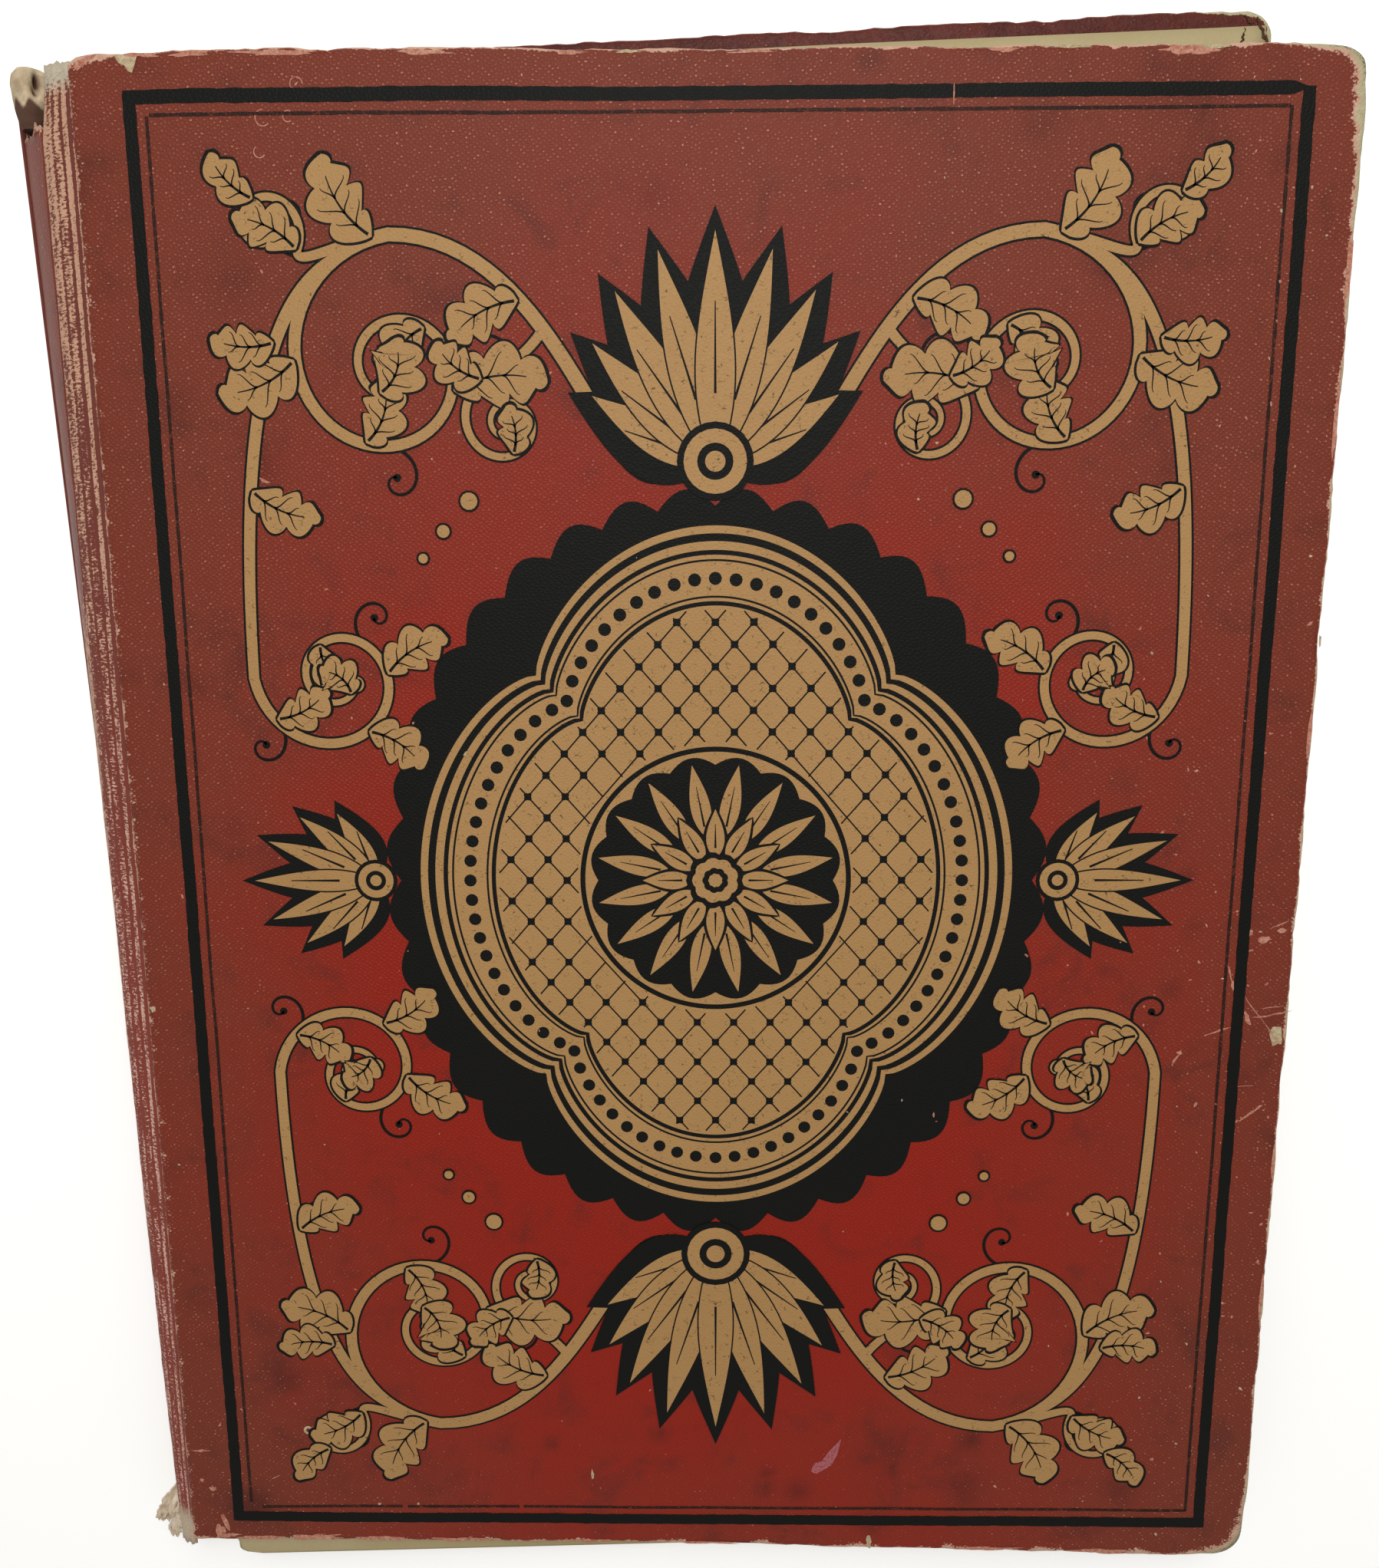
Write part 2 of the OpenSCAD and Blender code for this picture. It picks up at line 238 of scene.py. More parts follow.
def bookcloth(name, smooth_share=0):
    """Pebble-grained cloth: red where clean, brown where handled, and pale fibres where rubbed. The tops of
    the grain carry painted highlights in patches.
    """
    material, add, p = finish_named(name)
    # grain: cells 0.9 mm apart, in rows that run at 45 degrees
    turned = add("Mapping", {"Vector": p, "Rotation": (0, 0, 0.785), "Scale": (1, 1.3, 1)})
    cells = add("TexVoronoi DISTANCE_TO_EDGE", {"Vector": turned, "Scale": 1.2, "Randomness": 0.62})
    pebble = add("MapRange SMOOTHSTEP", {"Value": cells, "From": (0.02, 0.3)})
    # handled zone: distance from the clean middle, broken up by cloudy dirt
    off = add("VectorMath SUBTRACT", {0: p, 1: (4, -42, 0)})
    off = add("VectorMath MULTIPLY", {0: off, 1: (1 / 128, 1 / 185, 0)})
    far = add("VectorMath LENGTH", {0: off})
    cloud = add("TexNoise", {"Vector": p, "Scale": 0.022, "Detail": 5, "Roughness": 0.6})
    far = add("Math MULTIPLY_ADD", {0: cloud, 1: 0.55, 2: far})
    handled = add("MapRange SMOOTHSTEP", {"Value": far, "From": (0.62, 1.32)})
    colour = add("Mix RGBA", {0: handled, 6: "#931d0a", 7: "#783321"})
    blotch = add("TexNoise", {"Vector": p, "Scale": 0.09, "Detail": 6, "Roughness": 0.65, "Distortion": 0.4})
    stained = add("MapRange SMOOTHSTEP", {"Value": blotch, "From": (0.5, 0.78), "To": (0, 0.55)})
    # brown stains, and the painted shade stored with them on the mesh
    stain_and_shade_spot = add("MapRange", {"Value": blotch, "From": (0.3, 0.6), "To": (0.4, 1)})
    stain_and_shade_spot = add("Math MULTIPLY", {0: add("Attribute stain").outputs["Fac"], 1: stain_and_shade_spot})
    # the hollows of the grain are darker, and painted highlights lie on its tops in patches, more of them
    # where the cloth is handled
    hollow = add("MapRange", {"Value": cells, "From": (0, 0.1), "To": (0.28, 0)})
    patchy = add("TexNoise", {"Vector": p, "Scale": 0.55, "Detail": 4, "Roughness": 0.8})
    patchy = add("Math MULTIPLY_ADD", {0: handled, 1: 0.3, 2: patchy})
    patchy = add("MapRange", {"Value": patchy, "From": (0.6, 0.86), "To": (0, 0.8)})
    # painted highlights: pale dots on the tops of the grain
    tops = add("MapRange SMOOTHSTEP", {"Value": cells, "From": (0.36, 0.46)})
    tops = add("Math MULTIPLY", {0: tops, 1: patchy})
    # rubbed edges: the share rubbed is stored on the mesh, and noise breaks its border into flakes
    flakes = add("TexNoise", {"Vector": p, "Scale": 0.55, "Detail": 6, "Roughness": 0.75})
    torn = add("Math ADD", {0: add("Attribute rub").outputs["Fac"], 1: flakes})
    torn = add("Math MULTIPLY_ADD", {0: pebble, 1: 0.1, 2: torn})
    fibres = add("MapRange SMOOTHSTEP", {"Value": torn, "From": (1.06, 1.16)})
    fibre_tone = add("TexNoise", {"Vector": p, "Scale": 0.8, "Detail": 4})
    pale = add("Mix RGBA", {0: fibre_tone, 6: "#b27c68", 7: "#d4b59c"})
    bare = add("Math ADD", {0: add("Attribute bare").outputs["Fac"], 1: flakes})
    bare = add("MapRange SMOOTHSTEP", {"Value": bare, "From": (1.02, 1.08)})
    board = add("Mix RGBA", {0: fibre_tone, 6: "#989070", 7: "#cbbf9b"})
    for share, tint in ((stained, "#4d211a"), (stain_and_shade_spot, "#4a1710"), (hollow, "#421711"), (tops, "#c48f7d"),
                        (fibres, pale), (bare, board)):
        colour = add("Mix RGBA", {0: share, 6: colour, 7: tint})
    shine = add("MapRange", {"Value": add("Math MAXIMUM", {0: fibres, 1: bare}), "To": (0.46, 0.9)})
    smoothed = add("Math MULTIPLY", {0: pebble, 1: 1 - smooth_share})
    relief = add("Math MULTIPLY_ADD", {0: flakes, 1: 0.6, 2: smoothed})
    surface = {"Base Color": colour, "Roughness": shine, "IOR": 1.5, "Specular IOR Level": 0.2}
    return skin(material, add, surface, relief, 0.55, 0.12)


red_cloth = bookcloth("pebble_grained_bookcloth")

# points along the runs at head and tail, round each corner, and along the fore-edge
n_side, n_corner, n_end = 138, 11, 184
side_t = 2.2
deepest_nick = 0.75
# rings (inset, depth): round the outer edge, down the side, round the inner edge and over the turn-in
turn_in = 15
roll = np.radians([30, 60, 90])
ring_rows = [(roll_r * (1 - math.sin(a)), roll_r * (1 - math.cos(a))) for a in roll]
ring_rows += [(0, 1.55), (0, side_t)]
ring_rows += [(roll_r * (1 - math.cos(a)), side_t + roll_r * math.sin(a)) for a in roll]
ring_rows += [(inset, cover_t) for inset in (2.5, 6, 10, turn_in)]
# extra columns (inset, depth) in which the cloth rolls down at the spine edge
spine_roll = [(0, 1.6), (0, 0.9), (0.12, 0.45), (0.45, 0.12)]


def store(piece, label, values):
    """Keeps one number for each point of a piece, under a label that its material reads."""
    values = np.ravel(values).astype(np.float32)
    piece.data.attributes.new(label, "FLOAT", "POINT").data.foreach_set("value", values)


def thicken(piece, label, thickness, offset=-1):
    """Gives a sheet its thickness in millimetres, on the inner side of its face."""
    shell = piece.modifiers.new(label, "SOLIDIFY")
    shell.thickness, shell.offset = thickness / 1000, offset


# where the edge is chipped: distance along the path from the tail-spine corner, depth, width
nicks = {
    "front": [
        (60, 0.3, 5), (118, 0.28, 9), (176, 0.2, 6), (226, 0.5, 5), (330, 0.2, 6), (420, 0.22, 5),
        (521, 0.55, 5), (546, 0.5, 5), (570, 0.42, 4), (585, 0.3, 3), (630, 0.2, 8), (700, 0.35, 4),
        (735, 0.4, 5),
    ],
    "back": [
        (90, 0.3, 6), (225, 0.5, 6), (400, 0.2, 9), (519, 0.7, 7), (560, 0.25, 5), (600, 0.3, 4),
        (650, 0.2, 5),
    ],
}
# brown stains: place (s, t), radius, depth
stains = {
    "front": [
        (131.3, 13.6, 2.4, 0.9), (123.9, 14, 1.9, 0.8), (124.6, 17.6, 1.6, 0.7), (151.4, 18.5, 2, 0.6),
        (168, 26.4, 2.4, 0.7), (101.6, 26.8, 1.7, 0.7), (78.4, 24.5, 1.6, 0.8), (147.2, 5.7, 2.8, 0.6),
        (167.5, 14, 5, 0.4), (201, 14.5, 3, 0.6), (12.8, 9, 5, 0.7), (22.5, 39.6, 3.4, 0.6),
        (150, 22, 7, 0.25), (205.3, 150, 1.9, 0.6), (204, 127, 2, 0.6), (207.5, 139.5, 1.6, 0.5),
        (219, 108, 2.6, 0.5), (45.2, 272, 3.2, 0.6), (26, 262, 5, 0.4), (62, 258, 3, 0.35),
        (29.4, 227.5, 3.6, 0.45), (103, 275, 4, 0.3), (171, 287, 4, 0.35), (196, 294, 8, 0.45),
        (214.5, 281, 2.6, 0.6), (186, 262, 4, 0.4), (158, 250, 3, 0.35), (13, 240, 4, 0.4),
        (14, 188, 3, 0.4), (19, 160, 3, 0.3),
    ],
    "back": [
        (40, 60, 9, 0.5), (95, 210, 12, 0.4), (160, 120, 7, 0.5), (190, 250, 10, 0.5), (120, 30, 6, 0.5),
        (30, 270, 8, 0.4),
    ],
}


def cover_cloth(side):
    """Outer face: a grid whose corner squares are bent to arcs. Then rings at growing depth run round three
    edges and over the inner face. Nicks push the rings in by up to 0.75 mm."""
    # grid lines of the outer face; the last ones on each side bend round the corner
    r = corner_r - roll_r
    right, low, high = cover_w - corner_r, corner_r, cover_h - corner_r
    bend = r * np.linspace(0, 1, (n_corner + 1) // 2)
    s_line = np.concatenate([np.linspace(0, right, n_side), right + bend[1:]])
    t_line = np.concatenate([low - bend[::-1], np.linspace(low, high, n_end)[1:], high + bend[1:]])
    s, t = np.meshgrid(s_line, t_line)
    a, b = np.clip((s - right) / r, 0, 1), np.maximum(t - high, low - t) / r
    inside = (a > 0) & (b > 0)
    big = np.maximum(a, b)
    turn = np.minimum(a, b) / np.maximum(big, 1e-9)
    turn = np.where(a >= b, turn, 2 - turn) * math.pi / 4
    bent = r * big * np.sin(turn)
    s = np.where(inside, right + r * big * np.cos(turn), s)
    t = np.where(inside, np.where(t > cover_h / 2, high + bent, low - bent), t)
    # the spine edge rolls down in extra columns before the grid
    s[:, 0] = roll_r
    lead, (lead_s, lead_d) = len(spine_roll), np.array(spine_roll).T
    ones = np.ones((len(t_line), lead))
    d = np.hstack([ones * lead_d, np.zeros_like(s)])
    s, t = np.hstack([ones * lead_s, s]), np.hstack([ones * t[:, :1], t])
    rows, cols = s.shape
    index = np.arange(rows * cols).reshape(rows, cols)
    rim = np.concatenate([index[0], index[1:, -1], index[-1, -2::-1]])
    # rings: the same stations at each inset, pushed in by the nicks
    n = len(rim)
    steps = np.hypot(np.diff(s.ravel()[rim]), np.diff(t.ravel()[rim]))
    along = np.concatenate([[0], np.cumsum(steps)])
    nick = 0.16 * ripple(along, 11 if side == "front" else 12) + 0.14
    for centre, depth, width in nicks[side]:
        nick = nick + depth * np.exp(-((along - centre) / width) ** 2)
    nick = np.clip(nick, 0, deepest_nick)
    nick[:lead + 2] = nick[-lead - 2:] = 0
    lead_depth = np.concatenate([lead_d, np.zeros(n - 2 * lead), lead_d[::-1]])
    points = [[s.ravel(), t.ravel(), d.ravel()]]
    faces, before = [grid_faces(rows, cols)], rim
    for inset, depth in ring_rows:
        s, t = outline(inset, n_side, n_corner, n_end)
        s[0] = s[-1] = roll_r
        s, t = np.concatenate([lead_s, s, lead_s[::-1]]), np.pad(t, lead, "edge")
        way_s, way_t = s - np.clip(s, 0, cover_w - 12), t - np.clip(t, 12, cover_h - 12)
        push = nick * np.interp(inset, [0, 1, 3], [1, 0.9, 0]) / np.maximum(np.hypot(way_s, way_t), 1e-6)
        after = rows * cols + (len(points) - 1) * n + np.arange(n)
        points.append([s - way_s * push, t - way_t * push, np.maximum(depth, lead_depth)])
        faces.append(np.stack([before[1:], before[:-1], after[:-1], after[1:]], -1))
        before = after
    s, t, d = np.concatenate(points, axis=1)
    faces = np.concatenate(faces)[:, ::1 if side == "front" else -1]
    # how rubbed each point is: most on the rolled edges, then fading over the two faces
    near = np.minimum(np.minimum(t, cover_h - t), cover_w - s)
    rolled = np.interp(d, [0.1, 0.45, 1.6, 2.6, 3.05], [0.5, 0.62, 0.44, 0.5, 0.2])
    rub = np.where(d >= 0.1, rolled, 0.5 * np.exp(-np.maximum(near, 0) / 1.1))
    rub = rub + 0.1 * ripple(s + 1.7 * t, 5, shortest=9, longest=80)
    rub = np.where((d > 3) & (near > 1.4), 0.12, rub)
    rub = np.where(s < 2.5, np.maximum(rub, 0.5 - 0.12 * np.abs(s - 0.6)), rub)
    # bare board: a strip along the outline, 1 mm wide at the fore-edge and 3 mm wide round the two corners
    corner = np.minimum(np.hypot(s - cover_w, t - cover_h), np.hypot(s - cover_w, t))
    zone_r, zone_w = (10.5, 1.4) if side == "front" else (12, 2.2)
    zone = np.exp(-(corner / zone_r) ** 2)
    past_s, past_t = s - right, np.maximum(t - high, low - t)
    from_edge = np.where((past_s > 0) & (past_t > 0), corner_r - np.hypot(past_s, past_t), near)
    fore = ramp(cover_w - s, 4, 2)
    waver = np.clip(1 + 0.45 * ripple(t + 0.6 * s, 91, shortest=2, longest=26), 0.3, 1.8)
    reach_in = 0.12 + (0.28 + 0.55 * ramp(t, 230, 285)) * fore * waver + zone_w * zone
    bare = np.clip(1.02 - np.maximum(from_edge, 0) / reach_in * 0.45, 0, 0.95) * np.where(d > 3, 0.75, 1)
    bare = np.where(fore + zone > 0.05, bare, 0) * ramp(fore + zone, 0.05, 0.3)
    # pink fibres: a ragged band beside the bare strip, and along the head and tail of the outer face
    band = 0.5 + 0.4 * ripple(s, 92, shortest=2, longest=30)
    head_band, tail_band = np.maximum(band + 0.9 * ramp(s, 18, 7), 0.1), np.maximum(band + 0.35, 0.1)
    from_ends = np.minimum((cover_h - t) / head_band, t / tail_band)
    from_ends = np.minimum(from_ends, from_edge / (1.5 * reach_in + 0.1))
    rub = np.where(d < 0.5, np.maximum(rub, np.clip(1.02 - 0.45 * np.maximum(from_ends, 0), 0, 0.9)), rub)
    # painted shade: the cloth turned in over the inner face at the head of the back cover is darkened where
    # the front cover shades it; the brown stains below are real
    stain = np.where((side == "back") & (d > 2.9) & (t > 290), 0.95, 0)
    for at_s, at_t, radius, depth in stains[side]:
        stain = np.maximum(stain, depth * np.exp(-((s - at_s) ** 2 + (t - at_t) ** 2) / radius ** 2))
    piece = mesh_piece(side + "_cover_cloth_worn", cover_point(side, s, t, d), faces, red_cloth)
    store(piece, "rub", rub)
    store(piece, "bare", bare)
    store(piece, "stain", stain)
    thicken(piece, "cloth_thickness", cloth_t)
    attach(piece, side + "_cover")
    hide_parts(side + "_cover_cloth")


for side in ("front", "back"):
    cover_cloth(side)


# ---- Boards inside the covers ----
# Grey millboard, 2.4 mm, cut with the same rounded corners. It shows where the cloth is worn through.

def millboard(name):
    """Layered pulp board: greenish cream, with coarse fibres and a dull face."""
    material, add, p = finish_named(name)
    pulp = add("TexNoise", {"Vector": p, "Scale": 0.7, "Detail": 8, "Roughness": 0.7})
    layers = add("Mapping", {"Vector": p, "Scale": (0.15, 0.15, 3)})
    layers = add("TexNoise", {"Vector": layers, "Scale": 1, "Detail": 4})
    tone = add("Math MULTIPLY_ADD", {0: layers, 1: 0.5, 2: pulp})
    tone = add("MapRange", {"Value": tone, "From": (0.45, 1)})
    colour = add("Mix RGBA", {0: tone, 6: "#86805f", 7: "#c2b997"})
    return skin(material, add, {"Base Color": colour, "Roughness": 0.92, "IOR": 1.45}, pulp, 0.6, 0.2)


board_finish = millboard("pulp_millboard")

n_run, n_arc, n_up = 24, 9, 32
board_rows = [
    (5, 0.5), (1.4, 0.5), (0.95, 0.62), (0.8, 0.95), (0.8, 2.15), (0.95, 2.48), (1.4, 2.6), (5, 2.6),
]
for side in ("front", "back"):
    points = []
    for inset, depth in board_rows:
        s, t = outline(inset, n_run, n_arc, n_up)
        points.append(cover_point(side, np.maximum(s, inset), t, depth))
    n = len(s)
    faces = grid_faces(len(board_rows), n, closed=True).tolist()
    faces += [list(range(n - 1, -1, -1)), list(range((len(board_rows) - 1) * n, len(board_rows) * n))]
    if side == "front":
        faces = [face[::-1] for face in faces]
    piece = mesh_piece(side + "_board_cut", np.concatenate(points), faces, board_finish, smooth=False)
    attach(piece, side + "_cover")
    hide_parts(side + "_board")


# ---- Printed double frame on the front cover ----
# A six-point black rule with a hairline 4 mm in from its outer edge, printed in oil ink over the grain.
# The rules were set by hand, so their ends don't quite meet. The ink film stands 0.05 mm proud.

ink_t = 0.05
# how far the foot of a film goes down into the grain
film_t = 0.02


def ink(name, body, fleck, fleck_share, roughness, gloss):
    """Printing ink on grained cloth: it covers the tops of the grain and is thin in its hollows."""
    material, add, p = finish_named(name)
    turned = add("Mapping", {"Vector": p, "Rotation": (0, 0, 0.785), "Scale": (1, 1.3, 1)})
    cells = add("TexVoronoi DISTANCE_TO_EDGE", {"Vector": turned, "Scale": 1.15, "Randomness": 0.8})
    pebble = add("MapRange SMOOTHSTEP", {"Value": cells, "From": (0.02, 0.3)})
    patch = add("TexNoise", {"Vector": p, "Scale": 0.9, "Detail": 5, "Roughness": 0.7})
    cloud = add("TexNoise", {"Vector": p, "Scale": 0.035, "Detail": 5, "Roughness": 0.6})
    tone = add("Mix RGBA", {0: cloud, 6: body[0], 7: body[1]})
    thin = add("Math MULTIPLY_ADD", {0: cells, 1: -0.9, 2: patch})
    thin = add("MapRange SMOOTHSTEP", {"Value": thin, "From": (0.62 - fleck_share, 0.74 - fleck_share)})
    colour = add("Mix RGBA", {0: thin, 6: tone, 7: fleck})
    surface = {"Base Color": colour, "Roughness": roughness, "IOR": 1.48, "Specular IOR Level": gloss}
    return skin(material, add, surface, pebble, 0.45, 0.1)


black_ink = ink("black_oil_ink", ("#0e0f0d", "#141312"), "#23130f", 0, 0.55, 0.12)
hair_ink = ink("thin_black_ink", ("#241511", "#331b15"), "#66301f", 0.16, 0.55, 0.15)


def film(outline_st, level, thickness):
    """Closed prism of ink over a plane outline of (s, t) points. Its face stands level above the cloth."""
    n = len(outline_st)
    s, t = np.asarray(outline_st, float).T
    points = np.concatenate([cover_point("front", s, t, d) for d in (-level, thickness - level)])
    i = np.arange(n)
    sides = np.stack([i, n + i, n + (i + 1) % n, (i + 1) % n], -1)
    return points, [list(range(n)), list(range(2 * n - 1, n - 1, -1))] + sides.tolist()


# how far in from the outer face the lining paper lies
lining_level = 3.3


def strip(a, b, level, thickness, side="front"):
    """Closed flat strip between two edge lines of (s, t) points, on the outer face of the front cover or on
    the lining paper of the back one: a tube of quads, capped at both ends."""
    high, low = -level, thickness - level
    if side == "back":
        high, low = lining_level + level, lining_level + level - thickness
    ring = np.stack([cover_point(side, *a.T, high), cover_point(side, *a.T, low),
                     cover_point(side, *b.T, low), cover_point(side, *b.T, high)], 1)
    n = len(a)
    faces = grid_faces(n, 4, closed=True)[:, ::-1]
    caps = [[0, 1, 2, 3], [4 * n - 1, 4 * n - 2, 4 * n - 3, 4 * n - 4]]
    return ring.reshape(-1, 3), faces.tolist() + caps


def unit(ways):
    """Directions with a length of one."""
    return ways / np.maximum(np.linalg.norm(ways, axis=-1, keepdims=True), 1e-9)


def leftward(ways):
    """Plane directions turned a quarter to the left."""
    return np.stack([-ways[..., 1], ways[..., 0]], -1)


def ribbon(line, half, level, thickness, side="front"):
    """A strip along a line of (s, t) points with a half width at each point."""
    line = np.asarray(line, float)
    half = np.broadcast_to(np.asarray(half, float), len(line))
    left = leftward(unit(np.gradient(line, axis=0))) * half[:, None]
    return strip(line + left, line - left, level, thickness, side)


def joined(parts):
    """The points and faces of several parts as one list of each."""
    points, faces, first = [], [], 0
    for p, f in parts:
        points.append(p)
        faces += [[i + first for i in face] for face in f]
        first += len(p)
    return np.concatenate(points), faces


def print_piece(name, parts, material, side="front"):
    """A thin piece that rides on a cover."""
    points, faces = joined(parts)
    piece = mesh_piece(name, points, faces, material, smooth=False)
    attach(piece, side + "_cover")
    return piece


# the outer edges of the frame, the widths of its rules, and how far in the hairline lies
frame_s, frame_t = (8.3, 218.8), (5.1, 293.5)
rule_w, hair_w, hair_in = 2.3, 0.6, 4.1


def rule(start, end, width, seed, rough):
    """Points and half widths of a straight printed rule, which waver with the grain."""
    start, end = np.array(start), np.array(end)
    length = math.dist(start, end)
    k = np.linspace(0, 1, max(int(length / 0.8), 4))
    waver = 0.05 * ripple(k * length, seed, shortest=15, longest=120)
    line = start + k[:, None] * (end - start) + leftward(end - start) / length * waver[:, None]
    half = width / 2 + rough * ripple(k * length, seed + 1, 14, 1.5, 9)
    return line, np.maximum(half, 0.04)


(left, right), (low, high) = frame_s, frame_t
r2 = rule_w / 2
thick = [
    rule((left + 0.1, high - r2), (right - 1.4, high - r2), rule_w, 21, 0.05),
    rule((left + r2, high - r2 + 0.6), (left + r2, low + r2 - 0.9), rule_w, 22, 0.05),
    rule((left + 0.3, low + r2), (right + 0.1, low + r2), rule_w, 23, 0.05),
    rule((right - r2, low + r2 - 1), (right - r2, high - r2 + 0.25), rule_w, 24, 0.05),
]
ends = np.linspace(0, 1, len(thick[0][0]))
thick[0] = (thick[0][0], thick[0][1] * np.clip((1 - ends) * 70 + 0.12, 0, 1))
levels = [ink_t + 0.012 * i for i in range(4)]
parts = [ribbon(*line, level, level + film_t) for line, level in zip(thick, levels)]
print_piece("front_cover_thick_rules", parts, black_ink)

left, right, low, high = left + hair_in, right - hair_in, low + hair_in, high - hair_in
thin = [
    ((left + 0.5, high), (right - 0.2, high)), ((left, high - 0.2), (left, low + 0.6)),
    ((right, high + 0.1), (right, low)), ((left + 2.4, low - 0.5), (left + 33, low - 0.2)),
    ((left + 34.2, low - 0.2), (left + 58.5, low - 0.1)), ((left + 59.4, low - 0.1), (right + 0.2, low)),
]
parts = [ribbon(*rule(*ends, hair_w, 31 + i, 0.035), ink_t, ink_t + film_t) for i, ends in enumerate(thin)]
print_piece("front_cover_hairlines", parts, hair_ink)


# ---- Printed ornament in the middle of the front cover ----
# A symmetric ornament of a common pattern: a quatrefoil medallion with a rosette, palmettes on black
# grounds, and acanthus scrolls. It is printed in tan bronze-powder ink over black, layer on thin layer.

tan_ink = ink("tan_bronze_ink", ("#b08856", "#a27b4a"), "#5b4020", 0.1, 0.55, 0.25)
middle = np.array([113.5, 149.3])
print_parts = {"black": [], "tan": []}
pile = {"level": ink_t}
# height from one layer to the next, height between films of one layer, and the foot of every film
layer_step, fine_step = 0.0015, 0.0002
film_foot = 0.015
rim_w = 0.42


def closed_ccw(shape):
    """The outline with its points in anticlockwise order, judged by its signed area."""
    x, y = shape.T
    area = (x * np.roll(y, -1) - y * np.roll(x, -1)).sum()
    return shape if area > 0 else shape[::-1]


def around(n):
    """Angles of n points spread evenly round a circle."""
    return np.linspace(0, 2 * math.pi, n, endpoint=False)


def polar(r, a):
    """Plane points from radii and angles."""
    return np.stack([r * np.cos(a), r * np.sin(a)], -1)


def turned(shape, angle):
    """The shape turned anticlockwise about its origin."""
    c, s = math.cos(angle), math.sin(angle)
    return shape @ np.array([[c, s], [-s, c]])


def disc(centre, radius, n, lobes=0, depth=0):
    """A circle, with its radius swelling in round lobes if there are any."""
    a = around(n)
    return centre + polar(radius * (1 + depth * (np.abs(np.sin(lobes * a / 2)) - 1)), a)


def quatrefoil(size, n=240):
    """Four-lobed outline: its radius falls to a cusp with a power of the cosine of twice the angle."""
    a = around(n)
    return polar(0.86 + 0.17 * np.abs(np.cos(2 * a)) ** 0.75, a) * (53 + size, 63 + size)


def petal(base, angle, length, width, lean=0):
    """Outline of a pointed petal: its half width follows a skewed sine, and its midline leans aside."""
    k = np.linspace(0, 1, 18)
    mid = np.stack([length * k, lean * length * k ** 2], -1)
    off = np.stack([0 * k, width / 2 * np.sin(math.pi * k ** 0.75)], -1)
    return base + turned(np.concatenate([mid + off, (mid - off)[-2:0:-1]]), angle)


def grown(shape, by):
    """The outline moved outward along its normals, which lie across the line between two neighbours."""
    shape = closed_ccw(shape)
    return shape - leftward(unit(np.roll(shape, -1, 0) - np.roll(shape, 1, 0))) * by


def climb(by=layer_step):
    """The next film lies a step above the last, so that no two faces lie in one plane."""
    pile["level"] += by


def layer(ink_name, make, *shape):
    """Prints a shape in an ink: its face lies at the pile's level, and its foot just over the cloth."""
    print_parts[ink_name].append(make(*shape, pile["level"], pile["level"] - film_foot))


def print_film(shape, ink_name):
    """Prints a closed outline given from the ornament's middle."""
    layer(ink_name, film, middle + closed_ccw(shape))


def print_line(line, half, ink_name):
    """Prints a line given from the ornament's middle, with its half width."""
    layer(ink_name, ribbon, middle + np.asarray(line), half)


def outlined(shape, rim):
    """A tan shape with a black rim that shows round it."""
    climb()
    print_film(grown(shape, rim), "black")
    climb()
    print_film(shape, "tan")


def swoop(p0, p1, p2, p3, n=34):
    """Cubic curve through its end points, drawn toward two handles."""
    k = np.linspace(0, 1, n)[:, None]
    a, b, c, d = (np.array(p, float) for p in (p0, p1, p2, p3))
    return (1 - k) ** 3 * a + 3 * k * (1 - k) ** 2 * b + 3 * k ** 2 * (1 - k) * c + k ** 3 * d


def spiral(centre, radius, start, turns, inner, sense):
    """Scroll line round a centre: the radius shrinks by a constant factor per turn."""
    k = np.linspace(0, 1, int(56 * turns))
    return centre + polar(radius * (inner / radius) ** k, start + sense * 2 * math.pi * turns * k)


def acanthus(base, angle, length, width, bend, lobes):
    """A lobed leaf: half widths rise and fall in cusped lobes along a midline that bends like an arc. The
    black rim is the same leaf, wider all round by rim_w."""
    k = np.linspace(0, 1, 46)
    drift = polar(1, angle + bend * k)
    line = base + np.cumsum(drift * length / 45, 0)
    way = leftward(drift)
    body = np.clip(np.sin(math.pi * k ** 0.8), 0, 1) ** 0.7
    for rim, ink_name in ((rim_w, "black"), (0, "tan")):
        hands = []
        for side, shift in ((1, 0), (-1, 0.4)):
            lobe = 0.55 + 0.45 * np.abs(np.sin(math.pi * (lobes * k + shift))) ** 0.8
            half = width / 2 * body * lobe + rim
            forward = 0.3 * half + rim * (2 * k - 1)
            hands.append(line + side * way * half[:, None] + drift * forward[:, None])
        climb()
        layer(ink_name, strip, middle + hands[0], middle + hands[1])
    climb()
    print_line(line[2:36], np.linspace(0.3, 0.1, 34), "black")
    for at in (8, 16, 24):
        for hand in hands:
            tip = line[at + 5] + (hand[at + 6] - line[at + 5]) * 0.7
            vein = swoop(line[at], line[at] + drift[at] * 1.2, tip - drift[at], tip, 7)
            print_line(vein, np.linspace(0.17, 0.07, 7), "black")


# how far a leaf turns away from its stem, in radians
splay_angle = 0.85


def sprig(line, share, side, length, width, bend, lobes=3):
    """A leaf that springs from a stem at a share of its length and turns away from it to one side."""
    at = int(share * (len(line) - 2))
    way = line[at + 1] - line[at]
    angle = math.atan2(way[1], way[0]) + side * splay_angle
    acanthus(line[at], angle, length, width, side * bend, lobes)


